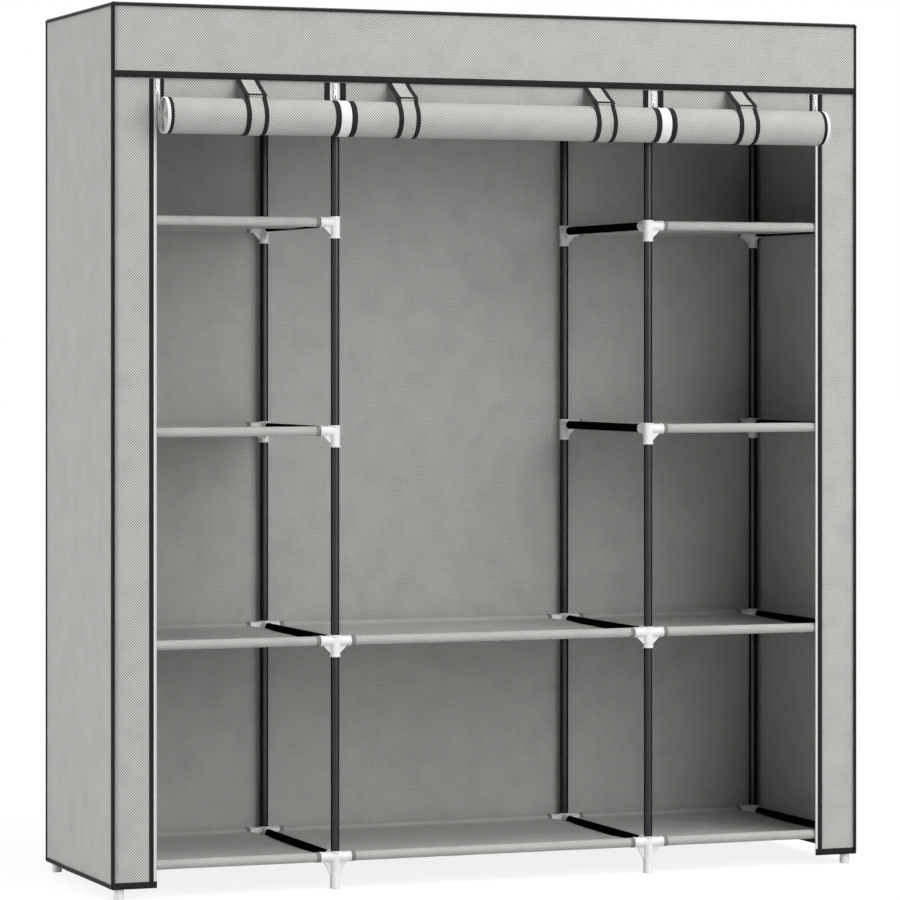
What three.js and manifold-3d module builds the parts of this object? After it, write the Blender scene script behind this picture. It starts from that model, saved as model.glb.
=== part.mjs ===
// Portable fabric wardrobe: a steel tube frame in plastic connectors, cloth shelves that hang
// from the frame's rails in sleeves, and a cloth cover with three rolled-up zip doors.
// Millimetres, +Z up, front towards -Y, origin on the floor under the middle of the whole.
import * as THREE from 'three';
import { mergeVertices } from 'three/addons/utils/BufferGeometryUtils.js';
import Module from 'manifold-3d';

const wasm = await Module();
wasm.setup();

// Driving sizes of the frame: distances between the tubes' centre lines.
const SIDE_BAY = 416.5;
const CENTRE_BAY = 633;
const FRAME_DEPTH = 416.5;
const FIRST_LEVEL = 59;
const RISE_TO_SECOND = 400.3;
const RISE_TO_THIRD = 388.3;
const RISE_TO_FOURTH = 387;
const RISE_TO_TOP = 383.6;

// Tubes and connectors.
const TUBE_RADIUS = 8;
const TUBE_WALL = 0.7;
const FIT_GAP = 0.3;
const HUB_WALL = 1.5;
const HUB_ARM = 31;
const HUB_COLLAR = 1.3;
const HUB_DROP = 30.2;
const GUSSET_REACH = 22;
const GUSSET_THICKNESS = 3.5;
const GUSSET_DROP = 24;
const FOOT_GUSSET_DROP = 34;
const FOOT_WALL = 1.1;
const SOCKET_FLOOR = 1;
const FOOT_SOCKET = 12;
const CUT_OVERRUN = 20;

// The centre bay has rails at its lowest levels only, and hanging space above them.
const CENTRE_LEVELS = 2;

// Shelves.
const SHELF_CLOTH = 1;
const SLEEVE_END_GAP = 7;
const SHELF_SIDE_GAP = 2.5;
const SHELF_NOTCH_DEPTH = 52;

// Cover. The facade is the plane of the front strips and of the doors.
const COVER_CLOTH = 1;
const COVER_SLACK = 5.3;
const HEM_HEIGHT = 20.5;
const VALANCE_DROP = 137;
const FACADE_SET_BACK = 1.5;
const SEAM_OVERLAP = 8;

// Zips, measured from the line where the two halves meet. The outer lines are set in from the
// outer posts, and the inner lines out from the inner posts.
const OUTER_ZIP_INSET = 69;
const INNER_ZIP_OUTSET = 4.7;
const OUTER_TAPE_SHOWN = 6;
const INNER_TAPE_SHOWN = 10.1;
const TAPE_THICKNESS = 0.8;
const COIL_WIDTH = 3;
const COIL_THICKNESS = 0.6;
const ZIP_TOP_GAP = 40;
const DOOR_TAPE_END_ABOVE_ROLL = 9.8;

// Sliders and pull tabs.
const SLIDER_LENGTH = 13;
const SLIDER_WIDTH = 8.4;
const SLIDER_PLATE = 0.8;
const SLIDER_NOSE_WIDTH = 1.8;
const SLIDER_NOSE_LENGTH = 2.6;
const SLIDER_BELOW_VALANCE = 1.6;
const BRIDGE_WIDTH = 2.2;
const BRIDGE_THICKNESS = 0.8;
const BRIDGE_LEG = 1.3;
const BRIDGE_INSET = 1.2;
const BRIDGE_LENGTH = 8.6;
const PULL_THICKNESS = 0.8;
const PULL_BAR = 0.9;
const PULL_LENGTH = 25;
const PULL_EYE_WIDTH = 7;
const PULL_WAIST = 4.6;
const PULL_END_WIDTH = 8;
const PULL_SLOT_WIDTH = 3.4;
const PULL_HOLE_RADIUS = 1.4;
const PULL_END_FROM = 135;
const PULL_END_TO = 405;

// Rolled doors: the winding's outer turns over a plain core. Angles are in degrees.
const ROLL_RADIUS = 32.4;
const ROLL_CENTRE_BELOW_VALANCE = 70;
const ROLL_TURNS = 5;
const ROLL_LAYER = 2.6;
const ROLL_LAYER_GAP = 1;
const ROLL_CLEARANCE = 2.5;
const ROLL_STEPS = 20;
const DOOR_GAP = 0.6;
const DOOR_BEND_ABOVE_ROLL = 16;

// Straps that hold the rolls. Their middles are set in from the zip at the door's outer edge.
const STRAP_WIDTH = 40;
const STRAP_CLOTH = 0.9;
const STRAP_TUCK = 6;
const STRAP_BEND_BELOW_VALANCE = 3;
const STRAP_REAR_BEND_BELOW_ROLL = 8;
const STRAP_REAR_TOP = 40;
const OUTER_STRAP_INSET = 171;
const INNER_STRAP_INSET = 123.2;
const STRAP_TAB_ANGLE = 116;
const STRAP_REAR_ANGLE = 324;
const STRAP_STEPS = 13;

// Hanging rail.
const HANG_RAIL_DROP = 45;
const HANG_CLIP_WIDTH = 12;
const HANG_CLIP_WALL = 2.6;
const HANG_CLIP_WEB = 5;

// Numbers of faces round tubes and bores.
const TUBE_SIDES = 8;
const BORE_SIDES = 6;

// Worked-out sizes and places.
const hubRadius = TUBE_RADIUS + FIT_GAP + HUB_WALL;
const footRadius = TUBE_RADIUS + FIT_GAP + FOOT_WALL;
const socketDepth = HUB_ARM - TUBE_RADIUS - SOCKET_FLOOR;
const innerX = CENTRE_BAY / 2;
const outerX = innerX + SIDE_BAY;
const outerZipX = outerX - OUTER_ZIP_INSET;
const innerZipX = innerX + INNER_ZIP_OUTSET;
const frontY = -FRAME_DEPTH / 2;
const backY = FRAME_DEPTH / 2;
const levels = [FIRST_LEVEL, RISE_TO_SECOND, RISE_TO_THIRD, RISE_TO_FOURTH, RISE_TO_TOP]
  .map((rise, i, rises) => rises.slice(0, i + 1).reduce((sum, r) => sum + r));
const topIndex = levels.length - 1;
const topLevel = levels[topIndex];
const coverHalfX = outerX + hubRadius + COVER_SLACK + COVER_CLOTH;
const coverHalfY = backY + hubRadius + COVER_SLACK + COVER_CLOTH;
const coverTop = topLevel + hubRadius + FIT_GAP + COVER_CLOTH;
const valanceBottom = coverTop - VALANCE_DROP;
const facadeFront = -coverHalfY + COVER_CLOTH + FACADE_SET_BACK;
const facadeBack = facadeFront + COVER_CLOTH;
const tapeFront = facadeBack + FIT_GAP;
const tapeBack = tapeFront + TAPE_THICKNESS;
const rollZ = valanceBottom - ROLL_CENTRE_BELOW_VALANCE;
const zipTop = coverTop - COVER_CLOTH - ZIP_TOP_GAP;
const sliderTop = valanceBottom - SLIDER_BELOW_VALANCE;
const sliderBottom = sliderTop - SLIDER_LENGTH;
const zipSplit = sliderBottom + SLIDER_NOSE_LENGTH + FIT_GAP;
const sliderPlateBack = tapeFront - COIL_THICKNESS - FIT_GAP;
const sliderPlateFront = sliderPlateBack - SLIDER_PLATE;
const pullBack = sliderPlateFront - FIT_GAP;
const pullFront = pullBack - PULL_THICKNESS;
const bridgeInner = pullFront - FIT_GAP;
const bridgeOuter = bridgeInner - BRIDGE_THICKNESS;
const rollY = bridgeOuter - ROLL_CLEARANCE / 2 - ROLL_RADIUS;
const frontMost = rollY - ROLL_RADIUS - FIT_GAP - STRAP_CLOTH;
const middleShift = -(frontMost + coverHalfY) / 2;

const steel = new THREE.MeshStandardMaterial({ color: 0x17171a, roughness: 0.32, metalness: 0.6 });
const plastic = new THREE.MeshStandardMaterial({ color: 0xeeeeee, roughness: 0.45, metalness: 0 });
const cloth = new THREE.MeshStandardMaterial({ color: 0xb5b5b1, roughness: 0.92, metalness: 0 });
const tape = new THREE.MeshStandardMaterial({ color: 0xe6e6e6, roughness: 0.8, metalness: 0 });
const zinc = new THREE.MeshStandardMaterial({ color: 0xd0d2d4, roughness: 0.3, metalness: 0.9 });

// A closed solid from a three.js geometry, and back again.
function toSolid(geometry) {
  const bare = geometry.clone();
  bare.deleteAttribute('normal');
  bare.deleteAttribute('uv');
  const merged = mergeVertices(bare);
  return new wasm.Manifold(new wasm.Mesh({
    numProp: 3,
    vertProperties: new Float32Array(merged.attributes.position.array),
    triVerts: new Uint32Array(merged.index.array),
  }));
}

function toGeometry(solid) {
  const mesh = solid.getMesh();
  const geometry = new THREE.BufferGeometry();
  geometry.setAttribute('position', new THREE.BufferAttribute(mesh.vertProperties, 3));
  geometry.setIndex(new THREE.BufferAttribute(mesh.triVerts, 1));
  geometry.computeVertexNormals();
  return geometry;
}

function join(solids) {
  return solids.reduce((sum, solid) => sum.add(solid));
}

function cut(solid, tools) {
  return solid.subtract(join(tools));
}

// A block between two corners.
function block(low, high) {
  const size = high.map((value, i) => value - low[i]);
  const geometry = new THREE.BoxGeometry(...size);
  geometry.translate(...high.map((value, i) => (value + low[i]) / 2));
  return toSolid(geometry);
}

// A round bar from a point, along an axis for a signed length.
function bar(radius, from, axis, length, sides = TUBE_SIDES) {
  const geometry = new THREE.CylinderGeometry(radius, radius, Math.abs(length), sides);
  if (axis === 'x') {
    geometry.rotateZ(Math.PI / 2);
  }
  if (axis === 'z') {
    geometry.rotateX(Math.PI / 2);
  }
  const middle = new THREE.Vector3(...from);
  middle[axis] += length / 2;
  geometry.translate(middle.x, middle.y, middle.z);
  return toSolid(geometry);
}

// An outline in the YZ plane, drawn out along X.
function drawnAlongX(points, lowX, highX) {
  const shape = new THREE.Shape(points.map(([y, z]) => new THREE.Vector2(y, z)));
  const geometry = new THREE.ExtrudeGeometry(shape, { depth: highX - lowX, bevelEnabled: false });
  geometry.applyMatrix4(new THREE.Matrix4().makeBasis(
    new THREE.Vector3(0, 1, 0),
    new THREE.Vector3(0, 0, 1),
    new THREE.Vector3(1, 0, 0),
  ));
  geometry.translate(lowX, 0, 0);
  return toSolid(geometry);
}

// An outline in the XZ plane, drawn out along Y.
function drawnAlongY(points, lowY, highY) {
  const shape = new THREE.Shape(points.map(([x, z]) => new THREE.Vector2(x, z)));
  const geometry = new THREE.ExtrudeGeometry(shape, { depth: highY - lowY, bevelEnabled: false });
  geometry.rotateX(Math.PI / 2);
  geometry.translate(0, highY, 0);
  return toSolid(geometry);
}

// A point of the YZ plane at a distance from the roll's axis. The angle is measured from +Y
// towards +Z, in degrees.
function aroundRoll(radius, degrees) {
  const angle = THREE.MathUtils.degToRad(degrees);
  return [rollY + radius * Math.cos(angle), rollZ + radius * Math.sin(angle)];
}

const wardrobe = new THREE.Group();
// The rolled doors stand out at the front, so the whole is moved back to centre it.
wardrobe.position.y = middleShift;

function addPart(name, solid, material) {
  const mesh = new THREE.Mesh(toGeometry(solid), material);
  mesh.name = name;
  wardrobe.add(mesh);
}

// One connector. Its arms point along the signs in armsX and armY; the socket points down,
// and ends in a foot on the first level.
function hub(x, y, level, armsX, armY) {
  const z = levels[level];
  const isFoot = level === 0;
  const isTop = level === topIndex;
  const gussetDrop = isFoot ? FOOT_GUSSET_DROP : GUSSET_DROP;
  const headroom = isTop ? hubRadius : hubRadius + HUB_COLLAR;
  const radius = isFoot ? footRadius : hubRadius;
  const drop = isFoot ? z : HUB_DROP;
  const low = HUB_ARM * Math.min(0, ...armsX);
  const high = HUB_ARM * Math.max(0, ...armsX);
  const pieces = [
    bar(radius, [x, y, z + headroom], 'z', -headroom - drop),
    bar(hubRadius, [x + low, y, z], 'x', high - low),
    bar(hubRadius, [x, y, z], 'y', armY * HUB_ARM),
  ];
  const outline = gusset(z - gussetDrop, z);
  const halfGusset = GUSSET_THICKNESS / 2;
  armsX.forEach((sign) => {
    const web = outline.map(([along, height]) => [x + sign * along, height]);
    pieces.push(drawnAlongY(web, y - halfGusset, y + halfGusset));
  });
  const web = outline.map(([along, height]) => [y + armY * along, height]);
  pieces.push(drawnAlongX(web, x - halfGusset, x + halfGusset));
  return join(pieces);
}

// A gusset's triangle, as distance out from the socket's centre line and height.
function gusset(low, high) {
  return [[0, low - GUSSET_THICKNESS], [0, high], [GUSSET_REACH, high],
    [GUSSET_REACH, high - hubRadius + TUBE_WALL], [hubRadius - TUBE_WALL, low]];
}

// The upright tube's hole through a connector, blind at the top and at the foot.
function uprightHole(x, y, level) {
  const z = levels[level];
  const low = level === 0 ? z - FOOT_SOCKET : z - HUB_DROP - CUT_OVERRUN;
  const high = level === topIndex ? z : z + CUT_OVERRUN;
  return bar(TUBE_RADIUS + FIT_GAP, [x, y, low], 'z', high - low);
}

// Connectors, rails and their bores at one level, between the given bay edges. Where the
// centre bay has rails of its own, the connectors beside it have an open arm towards it.
function levelFrame(level, edges, hasCentreArms) {
  const z = levels[level];
  const lowX = edges[0];
  const highX = edges[edges.length - 1];
  const solids = [];
  const bores = [];
  edges.forEach((x) => {
    const hasOpenArm = hasCentreArms && Math.abs(x) === innerX;
    const arms = [-1, 1].filter((sign) => hasOpenArm || (sign < 0 ? x > lowX : x < highX));
    [frontY, backY].forEach((y) => {
      solids.push(hub(x, y, level, arms, -Math.sign(y)));
      bores.push(uprightHole(x, y, level));
      if (hasOpenArm) {
        const mouth = x - Math.sign(x) * (HUB_ARM + CUT_OVERRUN);
        const depth = Math.sign(x) * (socketDepth + CUT_OVERRUN);
        bores.push(bar(TUBE_RADIUS + FIT_GAP, [mouth, y, z], 'x', depth));
      }
    });
    solids.push(bar(TUBE_RADIUS, [x, frontY, z], 'y', FRAME_DEPTH));
    bores.push(bar(TUBE_RADIUS - TUBE_WALL, [x, frontY, z], 'y', FRAME_DEPTH, BORE_SIDES));
  });
  [frontY, backY].forEach((y) => {
    solids.push(bar(TUBE_RADIUS, [lowX, y, z], 'x', highX - lowX));
    bores.push(bar(TUBE_RADIUS - TUBE_WALL, [lowX, y, z], 'x', highX - lowX, BORE_SIDES));
  });
  return cut(join(solids), bores);
}

// An open tube along an axis.
function tube(from, axis, length) {
  const bore = bar(TUBE_RADIUS - TUBE_WALL, from, axis, length, BORE_SIDES);
  return bar(TUBE_RADIUS, from, axis, length).subtract(bore);
}

function addFrame() {
  for (let level = 0; level < topIndex; level += 1) {
    [['left', -1], ['right', 1]].forEach(([side, sign]) => {
      const edges = [sign * innerX, sign * outerX].sort((a, b) => a - b);
      const bayFrame = levelFrame(level, edges, level < CENTRE_LEVELS);
      addPart(`${side}_bay_frame_${level + 1}`, bayFrame, steel);
    });
  }
  addPart('top_frame', levelFrame(topIndex, [-outerX, -innerX, innerX, outerX], false), steel);

  const uprightFoot = levels[0] - FOOT_SOCKET + FIT_GAP;
  [['front', frontY], ['back', backY]].forEach(([depthName, y]) => {
    [['left_outer', -outerX], ['left_inner', -innerX], ['right_inner', innerX],
      ['right_outer', outerX]].forEach(([name, x]) => {
      const length = topLevel - FIT_GAP - uprightFoot;
      addPart(`upright_${depthName}_${name}`, tube([x, y, uprightFoot], 'z', length), steel);
    });
    levels.slice(0, CENTRE_LEVELS).forEach((z, level) => {
      const reach = innerX - HUB_ARM + socketDepth - FIT_GAP;
      addPart(`centre_rail_${depthName}_${level + 1}`, tube([-reach, y, z], 'x', reach * 2), steel);
    });
  });
}

// The hanging rail and the two clips that hook over the top level's inner depth rails.
function addHangingRail() {
  const railZ = topLevel - HANG_RAIL_DROP;
  const clipInner = innerX - HANG_CLIP_WIDTH / 2;
  const railEnd = clipInner + HANG_CLIP_WIDTH - HANG_CLIP_WALL;
  addPart('hanging_rail', tube([-railEnd, 0, railZ], 'x', railEnd * 2), steel);
  [['left', -1], ['right', 1]].forEach(([side, sign]) => {
    const holder = TUBE_RADIUS + FIT_GAP + HANG_CLIP_WALL;
    const cup = bar(holder, [sign * clipInner, 0, railZ], 'x', sign * HANG_CLIP_WIDTH);
    const hook = bar(hubRadius, [sign * innerX, -HANG_CLIP_WIDTH, topLevel], 'y', HANG_CLIP_WIDTH * 2);
    const web = block(
      [sign * innerX - HANG_CLIP_WEB, -HANG_CLIP_WEB, railZ],
      [sign * innerX + HANG_CLIP_WEB, HANG_CLIP_WEB, topLevel],
    );
    const holes = [
      bar(TUBE_RADIUS + FIT_GAP, [sign * innerX, frontY, topLevel], 'y', FRAME_DEPTH),
      bar(TUBE_RADIUS + FIT_GAP, [0, 0, railZ], 'x', sign * (railEnd + FIT_GAP)),
    ];
    addPart(`hanging_rail_clip_${side}`, cut(join([cup, hook, web]), holes), plastic);
  });
}

// A cloth shelf between two posts: a sheet with notched corners, and a sleeve round each rail.
function shelf(lowPost, highPost, level) {
  const z = levels[level];
  const inner = TUBE_RADIUS + FIT_GAP;
  const outer = inner + SHELF_CLOTH;
  const sleeveLow = lowPost + HUB_ARM + SLEEVE_END_GAP;
  const sleeveHigh = highPost - HUB_ARM - SLEEVE_END_GAP;
  const edgeLow = lowPost + TUBE_RADIUS + SHELF_SIDE_GAP;
  const edgeHigh = highPost - TUBE_RADIUS - SHELF_SIDE_GAP;
  const notchY = backY - SHELF_NOTCH_DEPTH;
  const outline = [
    [sleeveLow, frontY], [sleeveHigh, frontY], [edgeHigh, -notchY], [edgeHigh, notchY],
    [sleeveHigh, backY], [sleeveLow, backY], [edgeLow, notchY], [edgeLow, -notchY],
  ];
  const shape = new THREE.Shape(outline.map(([x, y]) => new THREE.Vector2(x, y)));
  const sheet = new THREE.ExtrudeGeometry(shape, { depth: SHELF_CLOTH, bevelEnabled: false });
  sheet.translate(0, 0, z + inner);
  const pieces = [toSolid(sheet)];
  [frontY, backY].forEach((y) => {
    pieces.push(bar(outer, [sleeveLow, y, z], 'x', sleeveHigh - sleeveLow));
  });
  const holes = [frontY, backY].map((y) => bar(inner, [lowPost, y, z], 'x', highPost - lowPost));
  return cut(join(pieces), holes);
}

function addShelves() {
  const bays = [
    ['left', -outerX, -innerX, topIndex],
    ['centre', -innerX, innerX, CENTRE_LEVELS],
    ['right', innerX, outerX, topIndex],
  ];
  bays.forEach(([name, low, high, count]) => {
    for (let level = 0; level < count; level += 1) {
      addPart(`shelf_${name}_${level + 1}`, shelf(low, high, level), cloth);
    }
  });
}

// The cover's panels. Each is a flat sheet that meets its neighbours edge to edge.
function addCover() {
  const innerHalfX = coverHalfX - COVER_CLOTH;
  const innerHalfY = coverHalfY - COVER_CLOTH;
  const roof = coverTop - COVER_CLOTH;
  [['left', -1], ['right', 1]].forEach(([side, sign]) => {
    const across = [sign * innerHalfX, sign * coverHalfX].sort((a, b) => a - b);
    const sidePanel = block([across[0], -coverHalfY, HEM_HEIGHT], [across[1], coverHalfY, roof]);
    addPart(`cover_side_${side}`, sidePanel, cloth);
    const strip = [sign * (outerZipX + OUTER_TAPE_SHOWN), sign * innerHalfX].sort((a, b) => a - b);
    const stripPanel = block([strip[0], facadeFront, HEM_HEIGHT], [strip[1], facadeBack, roof]);
    addPart(`cover_strip_${side}`, stripPanel, cloth);
  });
  const back = block([-innerHalfX, innerHalfY, HEM_HEIGHT], [innerHalfX, coverHalfY, roof]);
  addPart('cover_back', back, cloth);
  const top = block([-coverHalfX, -coverHalfY, roof], [coverHalfX, coverHalfY, coverTop]);
  addPart('cover_top', top, cloth);
  const valance = block([-innerHalfX, -coverHalfY, valanceBottom], [innerHalfX, -innerHalfY, roof]);
  addPart('cover_valance', valance, cloth);
}

// A zip: two tapes, joined by their closed coil above the slider and parted below it.
// The outer half runs down the front strip to the hem; a door's half ends behind its roll.
function zip(x, outerShown, innerShown, outerBottom) {
  const side = Math.sign(x);
  const half = SLIDER_NOSE_WIDTH / 2 + FIT_GAP;
  const doorBottom = rollZ + DOOR_TAPE_END_ABOVE_ROLL;
  const strip = (direction, shown, bottom) => {
    const across = [x + direction * half, x + direction * (shown + SEAM_OVERLAP)];
    across.sort((a, b) => a - b);
    const coil = [x + direction * half, x + direction * (COIL_WIDTH / 2 + half)];
    coil.sort((a, b) => a - b);
    return [
      block([across[0], tapeFront, bottom], [across[1], tapeBack, zipTop]),
      block([coil[0], tapeFront - COIL_THICKNESS, bottom], [coil[1], tapeBack, zipTop]),
    ];
  };
  const closed = block(
    [x - COIL_WIDTH / 2 - half, tapeFront - COIL_THICKNESS, zipSplit],
    [x + COIL_WIDTH / 2 + half, tapeBack, zipTop],
  );
  return join([
    ...strip(side, outerShown, outerBottom),
    ...strip(-side, innerShown, doorBottom),
    closed,
  ]);
}

// A slider: two plates either side of the coil, a nose between them where the halves part,
// and a bridge in front for the pull tab's bar.
function slider(x) {
  const halfWidth = SLIDER_WIDTH / 2;
  const noseHalf = SLIDER_NOSE_WIDTH / 2;
  const backPlate = tapeBack + FIT_GAP;
  const bridgeTop = sliderTop - BRIDGE_INSET;
  const bridgeFoot = bridgeTop - BRIDGE_LENGTH;
  const bridgeHalf = BRIDGE_WIDTH / 2;
  const piece = (low, high) => block([x + low[0], low[1], low[2]], [x + high[0], high[1], high[2]]);
  return join([
    piece([-halfWidth, sliderPlateFront, sliderBottom], [halfWidth, sliderPlateBack, sliderTop]),
    piece([-halfWidth, backPlate, sliderBottom], [halfWidth, backPlate + SLIDER_PLATE, sliderTop]),
    piece(
      [-noseHalf, sliderPlateFront, sliderBottom],
      [noseHalf, backPlate + SLIDER_PLATE, sliderBottom + SLIDER_NOSE_LENGTH],
    ),
    piece([-bridgeHalf, bridgeOuter, bridgeFoot], [bridgeHalf, bridgeInner, bridgeTop]),
    piece([-bridgeHalf, bridgeOuter, bridgeTop - BRIDGE_LEG], [bridgeHalf, sliderPlateBack, bridgeTop]),
    piece(
      [-bridgeHalf, bridgeOuter, bridgeFoot],
      [bridgeHalf, sliderPlateBack, bridgeFoot + BRIDGE_LEG],
    ),
  ]);
}

// The height of the pull tab's bar, which turns inside the slider's bridge.
const pullPivotZ = sliderTop - BRIDGE_INSET - BRIDGE_LEG - FIT_GAP - PULL_BAR;

// A pull tab, hanging: an eye round the bridge, a waist, and a round end with a hole.
function pullTab(x) {
  const eyeTop = pullPivotZ + PULL_BAR / 2;
  const slotTop = eyeTop - PULL_BAR;
  const slotBottom = sliderTop - BRIDGE_INSET - BRIDGE_LENGTH - 2 * FIT_GAP;
  const eyeBottom = slotBottom - PULL_BAR;
  const endRadius = PULL_END_WIDTH / 2;
  const endZ = eyeTop - PULL_LENGTH + endRadius;
  const waistHalf = PULL_WAIST / 2;
  const eyeHalf = PULL_EYE_WIDTH / 2;
  const shape = new THREE.Shape();
  shape.moveTo(eyeHalf, eyeTop);
  shape.lineTo(-eyeHalf, eyeTop);
  shape.lineTo(-eyeHalf, eyeBottom);
  shape.lineTo(-waistHalf, eyeBottom - PULL_BAR);
  shape.lineTo(-waistHalf, endZ + endRadius);
  const { degToRad } = THREE.MathUtils;
  shape.absarc(0, endZ, endRadius, degToRad(PULL_END_FROM), degToRad(PULL_END_TO), false);
  shape.lineTo(waistHalf, endZ + endRadius);
  shape.lineTo(waistHalf, eyeBottom - PULL_BAR);
  shape.lineTo(eyeHalf, eyeBottom);
  const slotHalf = PULL_SLOT_WIDTH / 2;
  const slot = new THREE.Path([
    [-slotHalf, slotTop], [slotHalf, slotTop], [slotHalf, slotBottom], [-slotHalf, slotBottom],
  ].map(([u, v]) => new THREE.Vector2(u, v)));
  const hole = new THREE.Path();
  hole.absarc(0, endZ, PULL_HOLE_RADIUS, 0, Math.PI * 2, false);
  shape.holes.push(slot, hole);
  const settings = { depth: PULL_THICKNESS, bevelEnabled: false, curveSegments: BORE_SIDES };
  const geometry = new THREE.ExtrudeGeometry(shape, settings);
  geometry.rotateX(Math.PI / 2);
  geometry.translate(x, pullBack, 0);
  return toSolid(geometry);
}

function addZips() {
  const outerBottom = HEM_HEIGHT;
  const doorBottom = rollZ + DOOR_TAPE_END_ABOVE_ROLL;
  const zips = [['left_outer', -outerZipX], ['left_inner', -innerZipX],
    ['right_inner', innerZipX], ['right_outer', outerZipX]];
  zips.forEach(([name, x]) => {
    const isOuter = Math.abs(x) === outerZipX;
    const shown = isOuter ? OUTER_TAPE_SHOWN : INNER_TAPE_SHOWN;
    const bottom = isOuter ? outerBottom : doorBottom;
    addPart(`zip_${name}`, zip(x, shown, shown, bottom), tape);
    addPart(`slider_${name}`, slider(x), zinc);
    addPart(`pull_tab_${name}`, pullTab(x), zinc);
  });
}

// The rolled cloth's winding, as its outer and inner boundary: the flat cloth comes down behind
// the roll, turns under it and winds up in front, over and inwards to a plain core.
function winding() {
  const stepAngle = 360 / ROLL_STEPS;
  const stepIn = (ROLL_LAYER + ROLL_LAYER_GAP) / ROLL_STEPS;
  const boundary = (startRadius, turns) => (
    Array.from({ length: turns * ROLL_STEPS + 1 }, (_, i) => (
      aroundRoll(startRadius - stepIn * i, -stepAngle * i)
    ))
  );
  return {
    outer: boundary(ROLL_RADIUS, ROLL_TURNS),
    inner: boundary(ROLL_RADIUS - ROLL_LAYER, ROLL_TURNS - 1),
  };
}

// The least distance from the points of one boundary to the edges of the other.
function leastDistance(points, boundary) {
  const corners = boundary.map(([y, z]) => new THREE.Vector3(0, y, z));
  const nearest = new THREE.Vector3();
  const distances = points.flatMap(([y, z]) => {
    const point = new THREE.Vector3(0, y, z);
    return corners.slice(1).map((corner, i) => {
      new THREE.Line3(corners[i], corner).closestPointToPoint(point, true, nearest);
      return nearest.distanceTo(point);
    });
  });
  return Math.min(...distances);
}

// A door: its flat part behind the valance, and its roll, which holds the zip tapes as well.
function door({ outer, inner }, lowX, highX, lowShown, highShown) {
  const section = [...outer, ...inner.slice().reverse()];
  const roll = drawnAlongX(section, lowX + DOOR_GAP / 2, highX - DOOR_GAP / 2);
  const top = coverTop - COVER_CLOTH - FIT_GAP;
  const bendZ = rollZ + DOOR_BEND_ABOVE_ROLL;
  const rollBack = rollY + ROLL_RADIUS;
  const flat = [
    [facadeFront, top], [facadeFront, bendZ], [rollBack - COVER_CLOTH, rollZ],
    [rollBack, rollZ], [facadeBack, bendZ], [facadeBack, top],
  ];
  return roll.add(drawnAlongX(flat, lowX + lowShown, highX - highShown));
}

function addDoors() {
  const doors = [
    ['left', -outerZipX, -innerZipX, OUTER_TAPE_SHOWN, INNER_TAPE_SHOWN],
    ['centre', -innerZipX, innerZipX, INNER_TAPE_SHOWN, INNER_TAPE_SHOWN],
    ['right', innerZipX, outerZipX, INNER_TAPE_SHOWN, OUTER_TAPE_SHOWN],
  ];
  const turns = winding();
  doors.forEach(([name, ...limits]) => {
    addPart(`door_${name}`, door(turns, ...limits), cloth);
  });
  const facingInner = turns.outer.slice(ROLL_STEPS);
  const gap = Math.min(
    leastDistance(turns.inner, facingInner),
    leastDistance(facingInner, turns.inner),
  );
  console.log(`least gap between the roll's turns: ${gap.toFixed(2)} mm`);
}

// A strap: a tab sewn to the door's front comes out over the roll, and the rest goes round
// the roll's front and bottom and up behind the door's flat part.
function strapSection() {
  const tabBack = facadeFront - FIT_GAP;
  const tabFront = tabBack - STRAP_CLOTH;
  const tabTop = valanceBottom + STRAP_TUCK;
  const tabBend = valanceBottom - STRAP_BEND_BELOW_VALANCE;
  const rearFront = facadeBack + FIT_GAP;
  const rearBack = rearFront + STRAP_CLOTH;
  const rearTop = valanceBottom + STRAP_REAR_TOP;
  const rearBend = rollZ - STRAP_REAR_BEND_BELOW_ROLL;
  const stepAngle = (STRAP_REAR_ANGLE - STRAP_TAB_ANGLE) / STRAP_STEPS;
  const wrap = (radius) => Array.from({ length: STRAP_STEPS + 1 }, (_, i) => (
    aroundRoll(radius, STRAP_TAB_ANGLE + stepAngle * i)
  ));
  const inside = wrap(ROLL_RADIUS + FIT_GAP);
  const outside = wrap(ROLL_RADIUS + FIT_GAP + STRAP_CLOTH);
  return [
    [tabBack, tabTop], [tabBack, tabBend], ...inside, [rearFront, rearBend], [rearFront, rearTop],
    [rearBack, rearTop], [rearBack, rearBend - STRAP_CLOTH], ...outside.reverse(),
    [tabFront, tabBend], [tabFront, tabTop],
  ];
}

function addStraps() {
  const sideX = outerZipX - OUTER_STRAP_INSET;
  const centreX = innerZipX - INNER_STRAP_INSET;
  const straps = [['left_door', -sideX], ['centre_door_left', -centreX],
    ['centre_door_right', centreX], ['right_door', sideX]];
  straps.forEach(([name, x]) => {
    const section = drawnAlongX(strapSection(), x - STRAP_WIDTH / 2, x + STRAP_WIDTH / 2);
    addPart(`strap_${name}`, section, cloth);
  });
}

addFrame();
addHangingRail();
addShelves();
addCover();
addZips();
addDoors();
addStraps();

export default wardrobe;
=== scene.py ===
import math

import bmesh
import bpy
from mathutils import Matrix, Vector, noise


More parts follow.
